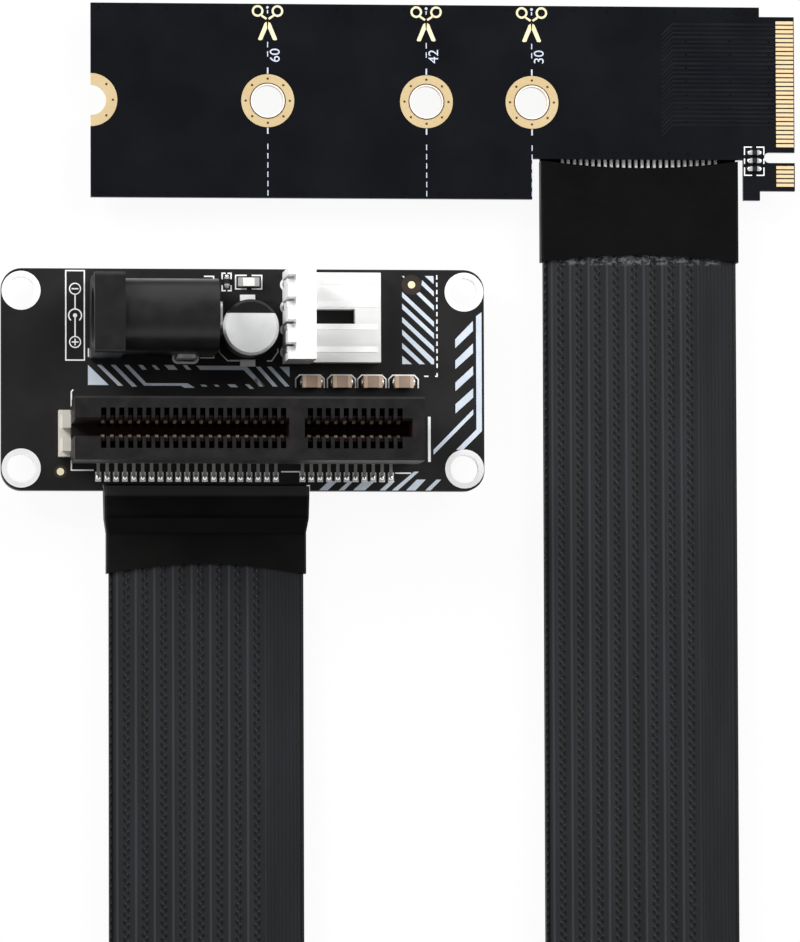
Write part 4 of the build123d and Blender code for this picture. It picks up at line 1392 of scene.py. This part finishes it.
    def number(self, distance: float, finishes: Finishes) -> None:
        """Prints one distance beside its cut line, reading upwards.

        Args:
            distance: The distance in millimetres.
            finishes: The finishes.
        """
        Workbench.clear()
        bpy.ops.object.text_add(rotation=(0, 0, pi / 2))
        text = bpy.context.object
        text.name = f"number_{distance:.0f}"
        text.data.body = f"{distance:.0f}"
        text.data.size = self.number_size * MM
        text.data.extrude = self.ink / 2 * MM
        text.data.align_x = "CENTER"
        text.location = (
            (self.edge_x - distance + self.number_place[0]) * MM,
            (self.centre_y + self.number_place[1]) * MM,
            (self.level + self.ink / 2) * MM,
        )
        Workbench.pick(text)
        bpy.ops.object.convert(target="MESH")
        piece = Workbench.settle(bpy.context.object)
        finishes.put(piece, "print_blue")
        Workbench.ride(piece, "card_laminate")


@dataclass
class SolderWork:
    """Solder, lands and pads on both boards, above and below."""

    top: float = 1.6
    slot_y: float = -6.15
    key_x: float = 5.15
    pitch: float = 1.0
    long_count: int = 21
    short_count: int = 11
    foot_y: float = -11.0
    tail_offset: float = 1.9625
    key_gap: float = 1.5
    pin_x: float = 4.9
    pin_ys: tuple[float, ...] = (10.76, 8.22, 5.68, 3.14)
    jack_places: tuple[Point3, ...] = ((-3.1, 6.75, 0.0), (-9.6, 6.75, 0.0), (-6.5, 2.45, 0.0))
    foot_drop: Point3 = (0.36, 0.5, 0.26)
    tail_drop: Point3 = (0.36, 0.36, 0.75)
    pin_drop: Point3 = (0.85, 0.85, 1.1)
    jack_drop: Point3 = (1.5, 1.5, 1.1)
    wire_pitch: float = 0.7
    wire_count: int = 26
    cable_ends: tuple[tuple[str, float, float, str, float], ...] = (
        ("card", 45.2, 25.25, "gold", 11.2),
        ("board", -4.1, -11.8, "tin", 11.5),
    )
    foot_pad: Point3 = (0.33, 0.5, 0.6)
    cable_pad: Point3 = (0.2, 0.3, 1.7)
    cable_pad_layer: Point = (-0.045, 0.044)
    lip: Point = (2.4, 2.2)
    lip_layer: Point = (-1.64, 0.06)
    land: Point = (-6.5, 2.42)
    land_sizes: tuple[Point, Point] = ((3.05, 1.3), (2.5, 0.8))
    chips: tuple[tuple[str, tuple[float, ...], tuple[float, ...], float, Point3], ...] = (
        ("card_chip_solder", (57.71, 58.85), (26.09, 25.165, 24.24), 0.8, (0.3, 0.3, 0.2)),
        ("board_chip_solder", (-1.83,), (10.47, 11.71), 1.6, (0.26, 0.22, 0.2)),
        ("ceramic_solder", (6.56, 8.8, 10.01, 12.25, 13.49, 15.73, 17.02, 19.26), (-0.22,), 1.6,
         (0.24, 0.6, 0.4)),
    )
    flare: float = 0.35

    def contact_xs(self) -> list[float]:
        """Places of the slot's contacts along the slot."""
        left = [self.key_x - self.key_gap - i * self.pitch for i in range(self.long_count)]
        return left + [self.key_x + self.key_gap + i * self.pitch for i in range(self.short_count)]

    def build(self, finishes: Finishes) -> None:
        """Makes every pad, land and solder joint.

        Args:
            finishes: The finishes.
        """
        xs = self.contact_xs()
        half, below, above = self.foot_pad
        pads = [box((x - half, self.foot_y - below), (x + half, self.foot_y + above)) for x in xs]
        finishes.lay("foot_pads", pads, self.top, 0.03, "bright_tin", "tin")
        feet = [(x, self.foot_y, self.top) for x in xs]
        self.drops("foot_solder", feet, self.foot_drop, 1, finishes)
        under = [(x, self.slot_y + self.tail_offset, 0.0) for x in xs]
        self.drops("tail_solder", under, self.tail_drop, -1, finishes)
        pins = [(self.pin_x, y, 0.0) for y in self.pin_ys]
        self.drops("pin_solder", pins, self.pin_drop, -1, finishes)
        self.drops("jack_solder", list(self.jack_places), self.jack_drop, -1, finishes)
        half, near, far = self.cable_pad
        for end, centre_x, edge_y, finish, _ in self.cable_ends:
            shapes = []
            for i in range(self.wire_count):
                x = centre_x + (i - (self.wire_count - 1) / 2) * self.wire_pitch
                shapes.append(box((x - half, edge_y + near), (x + half, edge_y + far)))
            finishes.lay(f"{end}_cable_pads", shapes, *self.cable_pad_layer, finish, "tin")
        below, above = self.lip
        for end, centre_x, edge_y, _, reach in self.cable_ends:
            film = box((centre_x - reach, edge_y - below), (centre_x + reach, edge_y + above))
            layer = (*self.lip_layer, "shrink_film", "shrink_film")
            finishes.lay(f"{end}_sleeve_lip", [film], *layer)
        lands = [oval(self.land, *size) for size in self.land_sizes]
        finishes.lay("side_terminal_land", lands, self.top, 0.04, "bright_tin", "tin")
        for name, xs, ys, level, size in self.chips:
            self.drops(name, [(x, y, level) for x in xs for y in ys], size, 1, finishes)

    def drops(
        self, name: str, places: list[Point3], size: Point3, way: int, finishes: Finishes
    ) -> None:
        """Rounded solder drops that stand on a face.

        Args:
            name: Name of the piece.
            places: Foot of each drop in millimetres.
            size: Half length, half width and height of a drop.
            way: 1 for a drop on top of a board, -1 for one below.
            finishes: The finishes.
        """
        Workbench.clear()
        bpy.ops.mesh.primitive_uv_sphere_add(segments=12, ring_count=8, radius=1)
        first = bpy.context.object
        first.name = name
        bpy.ops.object.mode_set(mode="EDIT")
        bpy.ops.mesh.select_all(action="SELECT")
        bpy.ops.mesh.bisect(
            plane_co=(0, 0, 0), plane_no=(0, 0, -way), use_fill=True, clear_outer=True
        )
        bpy.ops.object.mode_set(mode="OBJECT")
        stamp = bmesh.new()
        stamp.from_mesh(first.data)
        whole = bmesh.new()
        for place in places:
            verts = {}
            for vert in stamp.verts:
                x, y, z = vert.co
                share = (1 + self.flare * (1 - abs(z)) ** 3) / (1 + self.flare)
                verts[vert] = whole.verts.new((
                    (place[0] + x * size[0] * share) * MM,
                    (place[1] + y * size[1] * share) * MM,
                    (place[2] + z * size[2]) * MM,
                ))
            for face in stamp.faces:
                whole.faces.new([verts[v] for v in face.verts]).smooth = len(face.verts) < 6
        whole.to_mesh(first.data)
        whole.free()
        stamp.free()
        Workbench.settle(first)
        finishes.put(first, "solder")
        Workbench.ride(first, "tin")


NODE_FINISHES: dict[str, tuple[str, ...]] = {
    "bright_tin": ("screw_eyelets", "jack_side_terminal", "capacitor_tabs", "header_pins",
                   "card_wires_upper", "card_wires_lower"),
    "tin": ("jack_rear_terminal", "jack_spring_terminal", "light_ends", "board_resistor_ends",
            *(f"card_resistor_ends_{i}" for i in (1, 2, 3)), "jack_centre_pin"),
    "warm_tin": tuple(f"ceramic_ends_{i}" for i in (1, 2, 3, 4)),
    "gold": tuple(f"screw_ring_{i}" for i in (30, 42, 60, 80)),
    "finger_gold": ("fingers_top", "fingers_bottom"),
    "contact_metal": ("slot_contacts_front", "slot_contacts_back"),
    "slot_plastic": ("slot_housing",),
    "base_plastic": ("capacitor_base",),
    "jack_plastic": ("jack_housing",),
    "ivory_nylon": ("slot_end_block",),
    "white_nylon": ("header_housing",),
    "can_aluminium": ("capacitor_can",),
    "light_lens": ("light_body",),
    "ceramic_tan": tuple(f"ceramic_body_{i}" for i in (1, 2, 3, 4)),
    "resistor_black": ("board_resistor_body", *(f"card_resistor_body_{i}" for i in (1, 2, 3))),
    "shrink_film": ("card_sleeve", "board_sleeve"),
    "wire_film": ("board_wires_upper", "board_wires_lower"),
    "laminate": ("slot_board",),
    "card_laminate": ("drive_card",),
}


def main() -> None:
    """Builds every sub-assembly in order."""
    logging.basicConfig(level=logging.INFO, format="%(message)s")
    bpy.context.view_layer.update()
    Studio().build()
    finishes = Finishes()
    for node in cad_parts:
        log.info("node %s", node)
    for finish, names in NODE_FINISHES.items():
        for name in names:
            finishes.put(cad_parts[name], finish)
    RibbonPair().build(finishes)
    BoardPrint().build(finishes)
    CardDressing().build(finishes)
    SolderWork().build(finishes)


if __name__ == "__main__":
    main()
